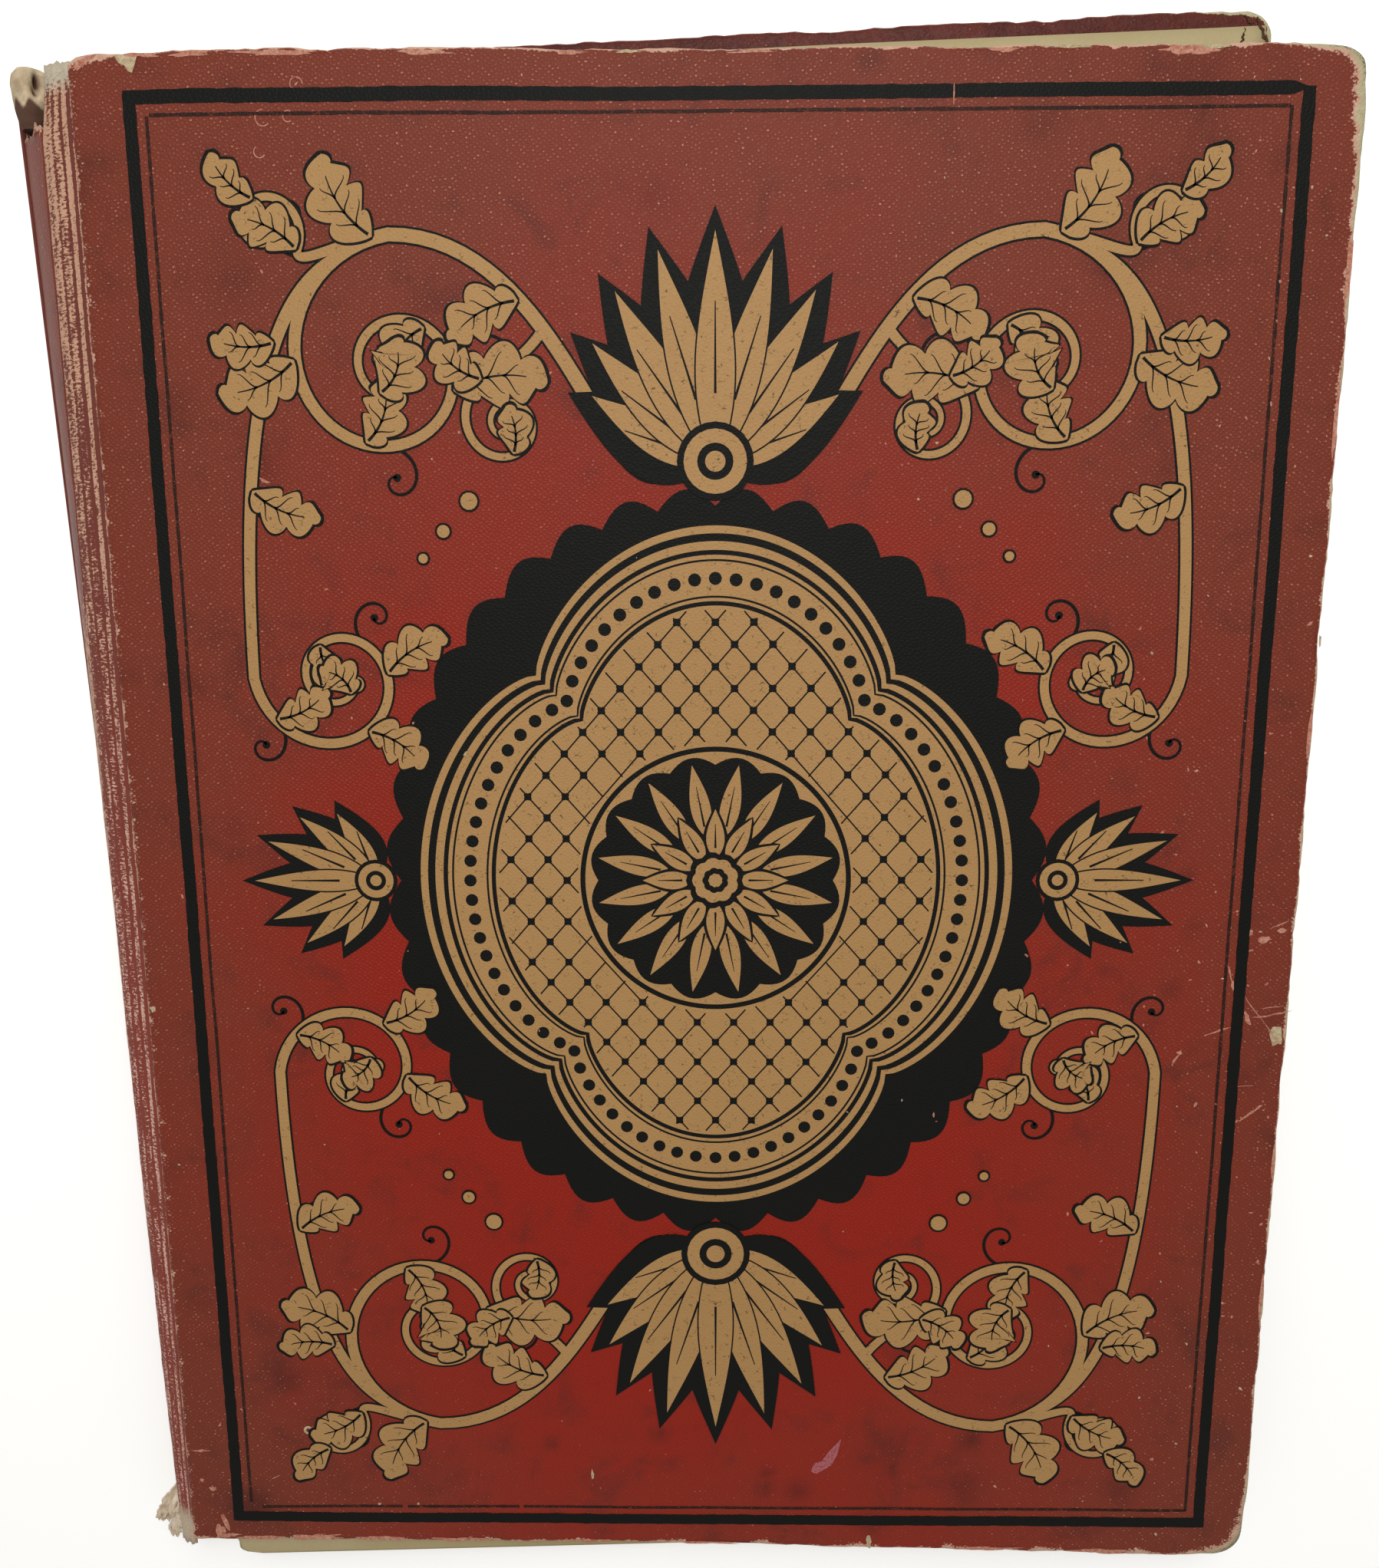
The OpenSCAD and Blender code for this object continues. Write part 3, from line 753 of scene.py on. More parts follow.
def tendril(line, share, side, radius, turns):
    """A hairline that leaves a stem, curls up on one side and ends in a dot."""
    at = int(share * (len(line) - 2))
    way = unit(line[at + 1] - line[at])
    centre = line[at] + side * leftward(way) * radius * 1.9 + way * radius * 0.6
    start = math.atan2(*(line[at] - centre)[::-1])
    curl = spiral(centre, np.hypot(*(line[at] - centre)), start, turns, radius * 0.22, side)
    climb()
    print_line(curl, np.linspace(0.34, 0.2, len(curl)), "black")
    print_film(disc(curl[-1], 0.75, 12), "black")


# medallion: rims, bead band, diaper pattern and rosette
climb()
scallop = 1 + 0.045 * np.abs(np.sin(18 * around(360)))
print_film(disc((0, 0), 1, 360) * (62, 72) * scallop[:, None], "black")
for size, ink_name in ((3.4, "tan"), (2, "black"), (0.6, "tan")):
    climb()
    print_film(quatrefoil(size), ink_name)
climb()
for size, half in ((-1.4, 0.45), (-2.8, 0.2), (-9.4, 0.2), (-10.6, 0.42)):
    loop = quatrefoil(size)
    print_line(np.concatenate([loop, loop[:1]]), half, "black")
band = quatrefoil(-6.1, 2400)
length = np.concatenate([[0], np.cumsum(np.hypot(*np.diff(band, axis=0).T))])
for place in np.linspace(0, length[-1], 84, endpoint=False):
    print_film(disc(band[min(np.searchsorted(length, place), len(band) - 1)], 1.25, 12), "black")
field = quatrefoil(-11.4, 720)
field_a, field_r = np.arctan2(field[:, 1], field[:, 0]), np.hypot(*field.T)


def in_field(x, y, inner, margin):
    """Whether a point lies between the rosette's ring and the medallion's inner outline."""
    r = np.hypot(x, y)
    return (r > inner) & (r < np.interp(np.arctan2(y, x), field_a, field_r, period=2 * math.pi) - margin)


# the diaper: two sets of slanting lines, and a small flower wherever they cross
pitch, slant = 8.4, 1.15
for slope in (slant, -slant):
    climb()
    for shift in np.arange(-15, 16) * pitch:
        x = np.linspace(-60, 60, 241)
        y = slope * x + shift
        inside = in_field(x, y, 27, 0).astype(int)
        for first, last in np.flatnonzero(np.diff(inside, prepend=0, append=0)).reshape(-1, 2):
            if last - first > 3:
                print_line(np.stack([x, y], -1)[first:last], 0.15, "black")
climb()
for i in range(-16, 17):
    for j in range(-16, 17):
        x, y = (i - j) * pitch / 2 / slant, (i + j) * pitch / 2
        if in_field(x, y, 29, 1.4):
            print_film(disc((x, y), 0.95, 12, 4, 0.3), "black")
climb()
print_film(disc((0, 0), 26.6, 144), "black")
outlined(disc((0, 0), 25.6, 144), 0.1)
climb()
print_film(disc((0, 0), 24.8, 144, 16, 0.07), "black")
for count, inner, reach_out, breadth, first in ((16, 9, 14.4, 4.3, 0.5), (12, 4.5, 9.8, 4, 0)):
    ways = [(a, polar(1, a)) for a in 2 * math.pi * (np.arange(count) + first) / count]
    climb()
    for a, way in ways:
        print_film(grown(petal(inner * way, a, reach_out, breadth), 0.4), "black")
        climb(fine_step)
    climb()
    for a, way in ways:
        print_film(petal(inner * way, a, reach_out, breadth * 0.9), "tan")
        climb(fine_step)
    climb()
    for a, way in ways:
        print_line([way * (inner + 2), way * (inner + reach_out * 0.7)], np.array([0.22, 0.06]), "black")
for radius, ink_name in ((5.8, "black"), (4.6, "tan"), (2.6, "black"), (1.4, "tan")):
    climb()
    print_film(disc((0, 0), radius, 36, 9, 0.1), ink_name)


def palmette(base, angle, size, fingers):
    """A fan of petals, the middle one longest, over a round bud on a black ground with a scalloped edge."""
    base = np.array(base, float)
    fan = np.linspace(-1, 1, fingers)
    climb()
    for k in fan:
        a, far = angle + k * 1.3, size * (1.06 - 0.36 * abs(k) ** 1.5)
        print_film(petal(base, a, far, size * 0.36, -0.16 * k), "black")
        climb(fine_step)
    for k in sorted(fan, key=lambda k: -abs(k)):
        a, far = angle + k * 1.25, size * (0.96 - 0.36 * abs(k) ** 1.5)
        outlined(petal(base, a, far, size * 0.17, -0.16 * k), 0.3)
        climb()
        vein = base + np.linspace(0.3, 0.7, 6)[:, None] * far * polar(1, a)
        print_line(vein, np.linspace(0.25, 0.1, 6), "black")
    for share, ink_name in ((0.17, "black"), (0.14, "tan"), (0.08, "black"), (0.045, "tan")):
        climb()
        print_film(disc(base, size * share, 24), ink_name)


# each stem: where it starts, its two handles, then the spiral's centre, radius, start, turns and inner
# radius, and the stem's widths
scrolls = {
    "main": ((7, 80), (20, 66), (26, 120), (59, 97), 23, math.pi / 2, 1.5, 5, 2.8, 1.2),
    "low": ((69.4, 115.4), (80, 109.5), (88.5, 92), (72.5, 40), 16, 0, 1.45, 3.8, 2.4, 1),
    "small": ((31.2, 103.8), (33, 101), (36.5, 97.5), (38.5, 87), 9, 1.2, 1.5, 2.2, 1.8, 0.8),
    "curl": ((62, 119.2), (69, 118.5), (77.4, 113.5), (81.5, 121.5), 7, 3.6, 1.3, 1.8, 1.8, 0.8),
}
# each tendril: its stem, share, side, radius and turns
tendrils = [
    ("main", 0.1, 1, 4.2, 1.2), ("main", 0.3, 1, 3.4, 1.2), ("low", 0.22, -1, 3.4, 1.2),
    ("curl", 0.22, 1, 3.6, 1.2), ("low", 0.34, 1, 3, 1.1), ("main", 0.52, 1, 3.4, 1.1),
    ("low", 0.6, 1, 3, 1.2), ("main", 0.64, 1, 4, 1.2),
]
# the leaves along each stem: share, side, length, width, bend, and the number of lobes where it isn't three
sprigs = {
    "main": [(0.06, 1, 15, 9, 0.9), (0.2, -1, 15, 10, 0.9), (0.3, 1, 17, 11, 1), (0.4, 1, 16, 11, 0.9),
             (0.5, -1, 13, 9, 1.2), (0.62, 1, 18, 12, 0.9), (0.72, -1, 12, 9, 1.2), (0.97, -1, 11, 11, 1.5)],
    "low": [(0.12, 1, 12, 8, 0.8), (0.22, -1, 14, 9, 0.9), (0.34, -1, 12, 8, 0.9), (0.46, 1, 13, 9, 0.9),
            (0.55, 1, 14, 9, 0.9), (0.7, -1, 9, 7, 1.2, 2), (0.97, -1, 8, 8, 1.5)],
    "small": [(0.3, 1, 11, 8, 1), (0.52, -1, 9, 7, 0.9, 2)],
    "curl": [(0.3, -1, 13, 9, 0.9), (0.52, 1, 11, 7, 0.9, 2)],
}


def quarter(flip):
    """One quarter of the scrollwork; the other three are its mirror images."""
    turn = flip[0] * flip[1]
    stems = {}
    for name, (start, near, far, *curl, thick, thin) in scrolls.items():
        curl = spiral(*curl, -1)
        stems[name] = np.concatenate([swoop(start, near, far, curl[0])[:-1], curl]) * flip, thick, thin
    for name, share, side, radius, turns in tendrils:
        tendril(stems[name][0], share, side * turn, radius, turns)
    for rim, ink_name in ((0.4, "black"), (0, "tan")):
        climb()
        for line, thick, thin in stems.values():
            print_line(line, np.linspace(thick, thin, len(line)) / 2 + rim, ink_name)
            climb(fine_step)
    for line, thick, thin in stems.values():
        outlined(disc(line[-1], thin + 0.5, 16), 0.4)
    for name, leaves in sprigs.items():
        for share, side, *leaf in leaves:
            sprig(stems[name][0], share, side * turn, *leaf)
    climb()
    for centre, radius in (((46, 73), 1.6), ((51, 67.5), 1.2), ((55, 62.5), 0.9)):
        print_film(disc(np.array(centre) * flip, radius + 0.4, 14), "black")
        climb()
        print_film(disc(np.array(centre) * flip, radius, 14), "tan")


# the scrolls and side palmettes start low, and the large palmettes lie over the scrolls
low_pile, high_pile = 0.056, 0.19
for flip in ((1, 1), (-1, 1), (-1, -1), (1, -1)):
    pile["level"] = low_pile
    quarter(np.array(flip))
for base, angle, size, fingers in (((0, 80), math.pi / 2, 42, 9), ((0, -80), -math.pi / 2, 42, 9),
                                   ((67, 0), 0, 25, 7), ((-67, 0), math.pi, 25, 7)):
    pile["level"] = low_pile if size < 30 else high_pile
    palmette(base, angle, size, fingers)
print_piece("front_cover_black_forms", print_parts["black"], black_ink)
print_piece("front_cover_tan_forms", print_parts["tan"], tan_ink)


# ---- Marks of wear on the front cover ----
# Knocks, nails and shelf dust have lifted pale cotton fibres out of the dyed cloth. They stand up a few
# hundredths of a millimetre as flecks, scratches and streaks, and the edges are bare in chips.

def fibre_finish(name, pale, stained, coarse):
    """Undyed cotton fibre: short tangled streaks of two tones, dull and rough."""
    material, add, p = finish_named(name)
    tangled = {"Detail": 6, "Roughness": 0.75, "Distortion": 0.6}
    tangle = add("TexNoise", {"Vector": p, "Scale": coarse, **tangled})
    share = add("MapRange", {"Value": tangle, "From": (0.38, 0.66)})
    colour = add("Mix RGBA", {0: share, 6: stained, 7: pale})
    surface = {"Base Color": colour, "Roughness": 0.9, "Specular IOR Level": 0.2}
    return skin(material, add, surface, tangle, 0.7, 0.1)


def flake(s, t, length, width, angle, seed):
    """Outline of a torn fleck: an ellipse whose radius is broken by ripples in the angle."""
    a = around(int(np.clip(6 + 5 * length, 7, 44)))
    shape = polar(1 + 0.28 * ripple(a, seed, 5, 0.5, 3), a) * (length / 2, width / 2)
    return np.array([s, t]) + turned(shape, math.radians(angle))


pink_fibre = fibre_finish("lifted_pink_fibre", "#c99d86", "#a25a49", 1.6)
cream_fibre = fibre_finish("bared_cream_fibre", "#cdbd9c", "#9d8664", 1.4)
mauve_fibre = fibre_finish("mauve_chalk_smear", "#b5717a", "#93403f", 2.2)
# how high each kind of mark stands, and how thick it is
fleck_level, fleck_t = 0.045, 0.03
dust_level, dust_t = 0.06, 0.045

# place (s, t), length, width, angle of each mark, in millimetres and degrees
pink_marks = [
    (200, 158.2, 2.6, 0.5, 64), (199, 155.9, 1.6, 0.9, 64), (221.05, 137.17, 2.1, 1.2, 20),
    (223.46, 139.05, 1.3, 1, 10), (223, 140.2, 2.6, 0.25, 32), (219, 138.6, 1.4, 0.7, 80),
    (218.9, 134.9, 1.8, 0.4, 12), (220.1, 123.2, 5.6, 0.17, -60), (222.9, 118.3, 6.2, 0.15, -62),
    (219.5, 120.9, 2.6, 0.8, -70), (221.6, 121.2, 2.6, 0.3, 8), (224.1, 121.9, 3.4, 0.3, 14),
    (223, 123.2, 3.2, 0.2, 10), (213.8, 118.1, 5.2, 0.35, 20), (206, 112.4, 3.2, 0.45, 62),
    (206.6, 113.6, 0.9, 0.8, 0), (210.6, 102.5, 1.3, 0.5, 50), (220.4, 99.9, 2.2, 0.4, 52),
    (221.4, 101, 2.4, 0.35, 50), (222.2, 101.9, 1.6, 0.4, 48), (219, 98.9, 1.2, 0.4, 30),
    (215.4, 130.5, 3.6, 0.35, -74), (216.2, 127.8, 2.2, 0.6, -80), (219.9, 106.5, 2.4, 0.16, 4),
    (221.9, 128, 0.9, 0.35, 60), (3.12, 22.3, 2.7, 0.5, 2), (4.7, 13.1, 1.3, 1.1, 30),
    (2.9, 15.1, 0.8, 0.8, 0), (4.6, 11.6, 0.5, 0.4, 0), (6.5, 4.9, 0.9, 4.4, 12), (5.4, 2.6, 1.5, 3.6, -10),
    (7.2, 1.5, 4, 0.9, 8), (6.9, 28.6, 0.9, 0.35, 58), (23.4, 33.8, 0.8, 0.35, -50),
    (18.2, 16, 2.2, 0.2, 28), (155.46, 292.11, 0.22, 3.6, 0), (196.5, 298.6, 9.5, 1.5, -1),
    (164, 298.9, 4, 0.8, 0), (120, 299, 7, 0.5, 0), (88, 299, 6, 0.6, 1), (62, 298.8, 9, 0.8, 0),
    (36, 298.9, 12, 0.9, 0), (21, 298.9, 7, 0.8, 2), (2.6, 298.4, 3.4, 1.2, 30), (12, 299.1, 5, 0.8, -4),
    (14, 1, 9, 0.9, 0), (26, 1.2, 11, 1.3, 1), (40, 1, 9, 1.1, 0), (58, 0.9, 12, 0.8, 0),
    (86, 0.8, 10, 0.6, 0), (112, 0.8, 12, 0.5, 0), (172, 0.9, 12, 0.6, 1), (197, 0.9, 11, 0.8, 0),
    (225, 262, 0.9, 13, 0), (225.1, 236, 0.8, 15, 0), (225.2, 90, 0.7, 8, 0), (225.1, 60, 0.9, 9, 0),
    (225.1, 178, 0.7, 11, 0), (24.8, 80.2, 0.7, 0.5, 0), (28.1, 228, 1.5, 0.8, 10),
    (29.4, 226.2, 2, 0.5, -20), (39.4, 294, 0.9, 0.25, 40),
]
cream_marks = [
    (1.19, 122.64, 0.9, 1.3, 0), (10.2, 34.6, 0.6, 0.7, 0), (40.46, 9.58, 0.7, 0.6, 0),
    (48.84, 9.64, 0.5, 0.7, 0), (86.9, 17.1, 0.6, 2.1, 6), (214.3, 272.1, 0.7, 0.6, 0),
    (223.9, 117.2, 1.9, 4.2, 4), (146.8, 1.6, 1.2, 2.6, 10), (225.6, 196, 0.5, 2.4, 0),
    (61.4, 142.7, 0.5, 0.4, 0), (98.2, 299.2, 4, 0.5, 0), (201, 299.1, 5, 0.7, 0), (176, 299.3, 6, 0.5, 0),
]
# the fold at the corner of the head and the spine
fold_scar = [
    (7.4, 299.2), (11.6, 299.3), (10.9, 297.4), (10.4, 296.3), (9.7, 296.6), (9.2, 297.5), (8.1, 298),
]
parts = {"pink": [], "cream": [film(fold_scar, fleck_level, fleck_t)]}
for label, marks, first in (("pink", pink_marks, 300), ("cream", cream_marks, 400)):
    for i, mark in enumerate(marks):
        parts[label].append(film(flake(*mark, first + i), fleck_level + 0.0008 * (i % 9), fleck_t))
# a broken ring where a drop has lifted the dye, and faint rings of dried bubbles near the head
ring = disc((25.9, 27.5), 0.72, 18)
parts["cream"].append(ribbon(ring[:15], 0.26, pile["level"] + 0.03, fleck_t))
bubbles = [(39.43, 294, 1.1), (37.62, 288.99, 0.9), (33.08, 288.77, 1.3), (32.18, 283.33, 1)]
for i, (s, t, radius) in enumerate(bubbles):
    arc = disc((s, t), radius, 26)[3 * i:22 + i]
    parts["pink"].append(ribbon(arc, 0.09, fleck_level, fleck_t))
# dust-fine flecks, more of them near the fore-edge and the corners
rng = np.random.default_rng(17)
for i in range(210):
    if i % 3:
        s, t = 224.5 - rng.exponential(26), rng.uniform(3, 297)
    else:
        s, t = rng.uniform(2, 224), rng.uniform(2, 298)
    size = rng.uniform(0.16, 0.46)
    # none hangs over the edge at the spine
    if s > 1.5:
        shape = flake(s, t, size * rng.uniform(1, 2.4), size, rng.uniform(0, 180), 500 + i)
        parts["pink" if i % 4 else "cream"].append(film(shape, dust_level, dust_t))
# outline of the mauve smear
smear = [
    (140.4, 26.1), (139.6, 22.3), (138.3, 19.6), (136.6, 18.5), (135.2, 17.6), (134, 18.1), (134.6, 20.1),
    (136.2, 20.6), (137.7, 22.9),
]
print_piece("front_cover_lifted_fibres", parts["pink"], pink_fibre)
print_piece("front_cover_bared_chips", parts["cream"], cream_fibre)
print_piece("front_cover_chalk_smear", [film(smear, fleck_level, fleck_t)], mauve_fibre)

# cracks in the lining and the broken board at the head corner of the back cover
crack_brown = fibre_finish("split_edge_of_lining", "#5e452c", "#38271a", 1.8)
# each crack: its path and its half width
cracks = [
    ([(220.2, 296.4), (219.9, 295), (219.5, 293.8), (218.7, 292.6), (218, 291.6)], 0.17),
    ([(218.3, 292.3), (218.9, 291.5), (220.2, 291), (221.3, 290.7)], 0.22),
    ([(222.2, 298.1), (223, 296.6), (223.7, 295), (224.4, 293.2), (224.9, 291.6)], 0.26),
    ([(219.9, 298.4), (220.8, 297.5), (221.9, 297.2)], 0.14),
    ([(190, 292.6), (194.5, 293), (199, 292.7), (205, 292.5)], 0.16),
]
parts = []
for i, (line, half) in enumerate(cracks):
    k = np.linspace(0, len(line) - 1, 9 * len(line))
    line = [np.interp(k, range(len(line)), places) for places in zip(*line)]
    line = [line[j] + 0.16 * ripple(2 * k, 610 + 10 * j + i, 5, 1, 5) for j in (0, 1)]
    line = np.stack(line, -1)
    taper = np.sin(math.pi * np.linspace(0.06, 0.94, len(k))) ** 0.5
    half = half * taper * np.clip(1 + 0.4 * ripple(3 * k, 630 + i, 5, 1, 5), 0.3, 2)
    parts.append(ribbon(line, half, 0.03 + 0.002 * i, 0.05, "back"))
print_piece("back_lining_cracks", parts, crack_brown, "back")


# ---- Lining papers of the covers ----
# The pastedown fills the window between the turned-in cloth and laps over its edge, 2 mm short of the
# cover's edge. Plain cream paper, toned and foxed with age.

def old_paper(name, base, toned, size, foxing, lines=None):
    """Rag-and-wood paper, read by the sheet's own UV: cloudy tone, brown edges, fox spots, fibres.
    lines is a printed plan: the sizes of a cell, of the box in it and of the margins, in millimetres."""
    material, add, p = finish_named(name, "UV")
    cloud = add("TexNoise", {"Vector": p, "Scale": 0.02, "Detail": 5})
    fibre = add("TexNoise", {"Vector": p, "Scale": 1.1, "Detail": 5, "Roughness": 0.7})
    half = (size[0] / 2, size[1] / 2, 0)
    off = add("VectorMath ABSOLUTE", {0: add("VectorMath SUBTRACT", {0: p, 1: half})})
    gap = add("VectorMath SUBTRACT", {0: half, 1: off})
    gap_x, gap_y, _ = add("SeparateXYZ", {0: gap}).outputs
    edge = add("Math MINIMUM", {0: gap_x, 1: gap_y})
    ragged = add("Math MULTIPLY_ADD", {0: cloud, 1: -22, 2: edge})
    brown = add("MapRange SMOOTHSTEP", {"Value": ragged, "From": (-14, 8), "To": (0.85, 0)})
    colour = add("Mix RGBA", {0: brown, 6: base, 7: toned})
    dark = add("MapRange", {"Value": fibre, "From": (0.35, 0.8), "To": (0, 0.18)})
    colour = add("Mix RGBA", {0: dark, 6: colour, 7: "#8d7a55"})
    spots = add("TexVoronoi", {"Vector": p, "Scale": 0.045, "Randomness": 1})
    soft = add("Math MULTIPLY_ADD", {0: fibre, 1: 0.25, 2: spots})
    spots = add("MapRange SMOOTHSTEP", {"Value": soft, "From": (0.17, 0.25), "To": (foxing, 0)})
    colour = add("Mix RGBA", {0: spots, 6: colour, 7: "#9a6f42"})
    if lines:
        cell_size, box, margins = lines
        cell, none = p, (0, 0, 0)
        for step, by in (("SUBTRACT", (*margins, 0)), ("DIVIDE", (*cell_size, 1)), ("FRACTION", none),
                         ("SUBTRACT", (0.5, 0.5, 0)), ("ABSOLUTE", none), ("MULTIPLY", (*cell_size, 1)),
                         ("SUBTRACT", (box[0] / 2, box[1] / 2, 0))):
            cell = add("VectorMath " + step, {0: cell, 1: by})
        cell_x, cell_y, _ = add("SeparateXYZ", {0: cell}).outputs
        side = add("Math ABSOLUTE", {0: add("Math MAXIMUM", {0: cell_x, 1: cell_y})})
        side = add("MapRange", {"Value": side, "From": (0.12, 0.2), "To": (0.85, 0)})
        field = add("VectorMath SUBTRACT", {0: gap, 1: (margins[0] - 1, margins[1] - 1, 0)})
        field_x, field_y, _ = add("SeparateXYZ", {0: field}).outputs
        field = add("Math MINIMUM", {0: field_x, 1: field_y})
        side = add("Math MULTIPLY", {0: side, 1: add("Math GREATER_THAN", {0: field, 1: 0})})
        border = add("Math ABSOLUTE", {0: add("Math ADD", {0: field, 1: 5})})
        border = add("MapRange", {"Value": border, "From": (0.3, 0.4), "To": (0.85, 0)})
        inked = add("Math MAXIMUM", {0: side, 1: border})
        colour = add("Mix RGBA", {0: inked, 6: colour, 7: "#4a4640"})
    return skin(material, add, {"Base Color": colour, "Roughness": 0.85, "IOR": 1.45}, fibre, 0.35, 0.05)


def flat_uv(piece, u, v):
    """Store (u, v) in millimetres as the piece's UV map, in metres."""
    layer = piece.data.uv_layers.new(name="flat")
    corner = np.empty(len(piece.data.loops), np.int32)
    piece.data.loops.foreach_get("vertex_index", corner)
    flat = np.stack([np.ravel(u), np.ravel(v)], -1)[corner] / 1000
    layer.data.foreach_set("uv", flat.astype(np.float32).ravel())


paste_w, paste_h, paste_t = 223, 296, 0.12
endpaper = old_paper("toned_endpaper", "#d3c8a4", "#a8966a", (paste_w, paste_h), 0.55)
for side in ("front", "back"):
    u, v = np.meshgrid(np.linspace(0, paste_w, 60), np.linspace(0, paste_h, 80))
    s, t = 1 + u, 2 + v
    if side == "back":
        t = t - (0.9 + 0.4 * ramp(s, 150, 215)) * ramp(t, 285, 298)
    # the turned-in cloth and the tape ends under the paper show as faint steps
    near = np.minimum(np.minimum(t, cover_h - t), cover_w - s)
    d = cover_t + paste_t + 0.02 + 0.03 * np.clip(near - 14, 0, 1)
    faces = grid_faces(80, 60)[:, ::-1 if side == "front" else 1]
    piece = mesh_piece(side + "_pastedown_sheet", cover_point(side, s, t, d), faces, endpaper)
    flat_uv(piece, u, v)
    thicken(piece, "paper_thickness", paste_t)
    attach(piece, side + "_cover")
    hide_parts(side + "_pastedown")


# ---- Spine cloth ----
# The same cloth over a card strip. It leans over the leaves at the head, rounds a little outward, and its
# dye has gone to a brown purple where hands and light reach it. Both ends are torn.

spine_x, spine_z = -118.6, (4.4, 11.5)
spine_y = (-139, 140)


def spine_face(y, z):
    """Outward face of the spine: it leans in with height, more and more toward the head, and rounds out."""
    k = (z - spine_z[0]) / (spine_z[1] - spine_z[0])
    return spine_x + 7.8 * np.clip((y + 150) / 300, 0, 1) ** 1.5 * k - 0.5 * (1 - (2 * k - 1) ** 2)


purple_cloth = bookcloth("sunned_spine_cloth", smooth_share=0.5)
y, z = np.meshgrid(np.linspace(*spine_y, 150), np.linspace(*spine_z, 14), indexing="ij")
tail_tear = np.where(y < -138, -0.9, 0) * (1 + ripple(z, 71, shortest=0.8, longest=5))
head_tear = np.where(y > 139, 0.7, 0) * ripple(z, 72, shortest=0.8, longest=5)
y = y + tail_tear + head_tear
y = y - 1.8 * ramp(y, 133, 140) * (spine_z[1] - z) / (spine_z[1] - spine_z[0])
x = spine_face(y, z) + 0.05 * ripple(y + 3 * z, 73, shortest=4, longest=40)
piece = mesh_piece("spine_cloth_worn", np.stack([x, y, z], -1), grid_faces(150, 14), purple_cloth)
ends = np.minimum(y - spine_y[0], spine_y[1] - y)
rub = np.clip(0.62 - ends / 7, 0.12, 0.62) + 0.1 * ripple(y, 74, shortest=5, longest=60)
rub = np.maximum(rub, 0.42 - (spine_z[1] - z) * 0.3)
rub = np.maximum(rub, 0.62 * ramp(y, 95, 45) * ramp(z, spine_z[1] - 9, spine_z[1] - 4))
store(piece, "rub", rub)
thicken(piece, "cloth_thickness", cloth_t)
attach(piece, "text_block")
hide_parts("spine_cloth")


# ---- Cloth joints between the spine and the covers ----
# The strip of cloth that bends each time a cover opens. Its dye is rubbed off down to peach threads,
# in bands that run along the spine.

# how bare the joint is from the cover's edge, 0, to the spine, 1
joint_bands = [
    (0, 0.72), (0.06, 0.7), (0.085, 0.22), (0.15, 0.2), (0.18, 0.66), (0.33, 0.64), (0.355, 0.26),
    (0.39, 0.26), (0.43, 0.56), (0.56, 0.56), (0.6, 0.4), (0.64, 0.42), (0.68, 0.62), (0.8, 0.52),
    (0.92, 0.6), (0.95, 0.2), (1, 0.2),
]


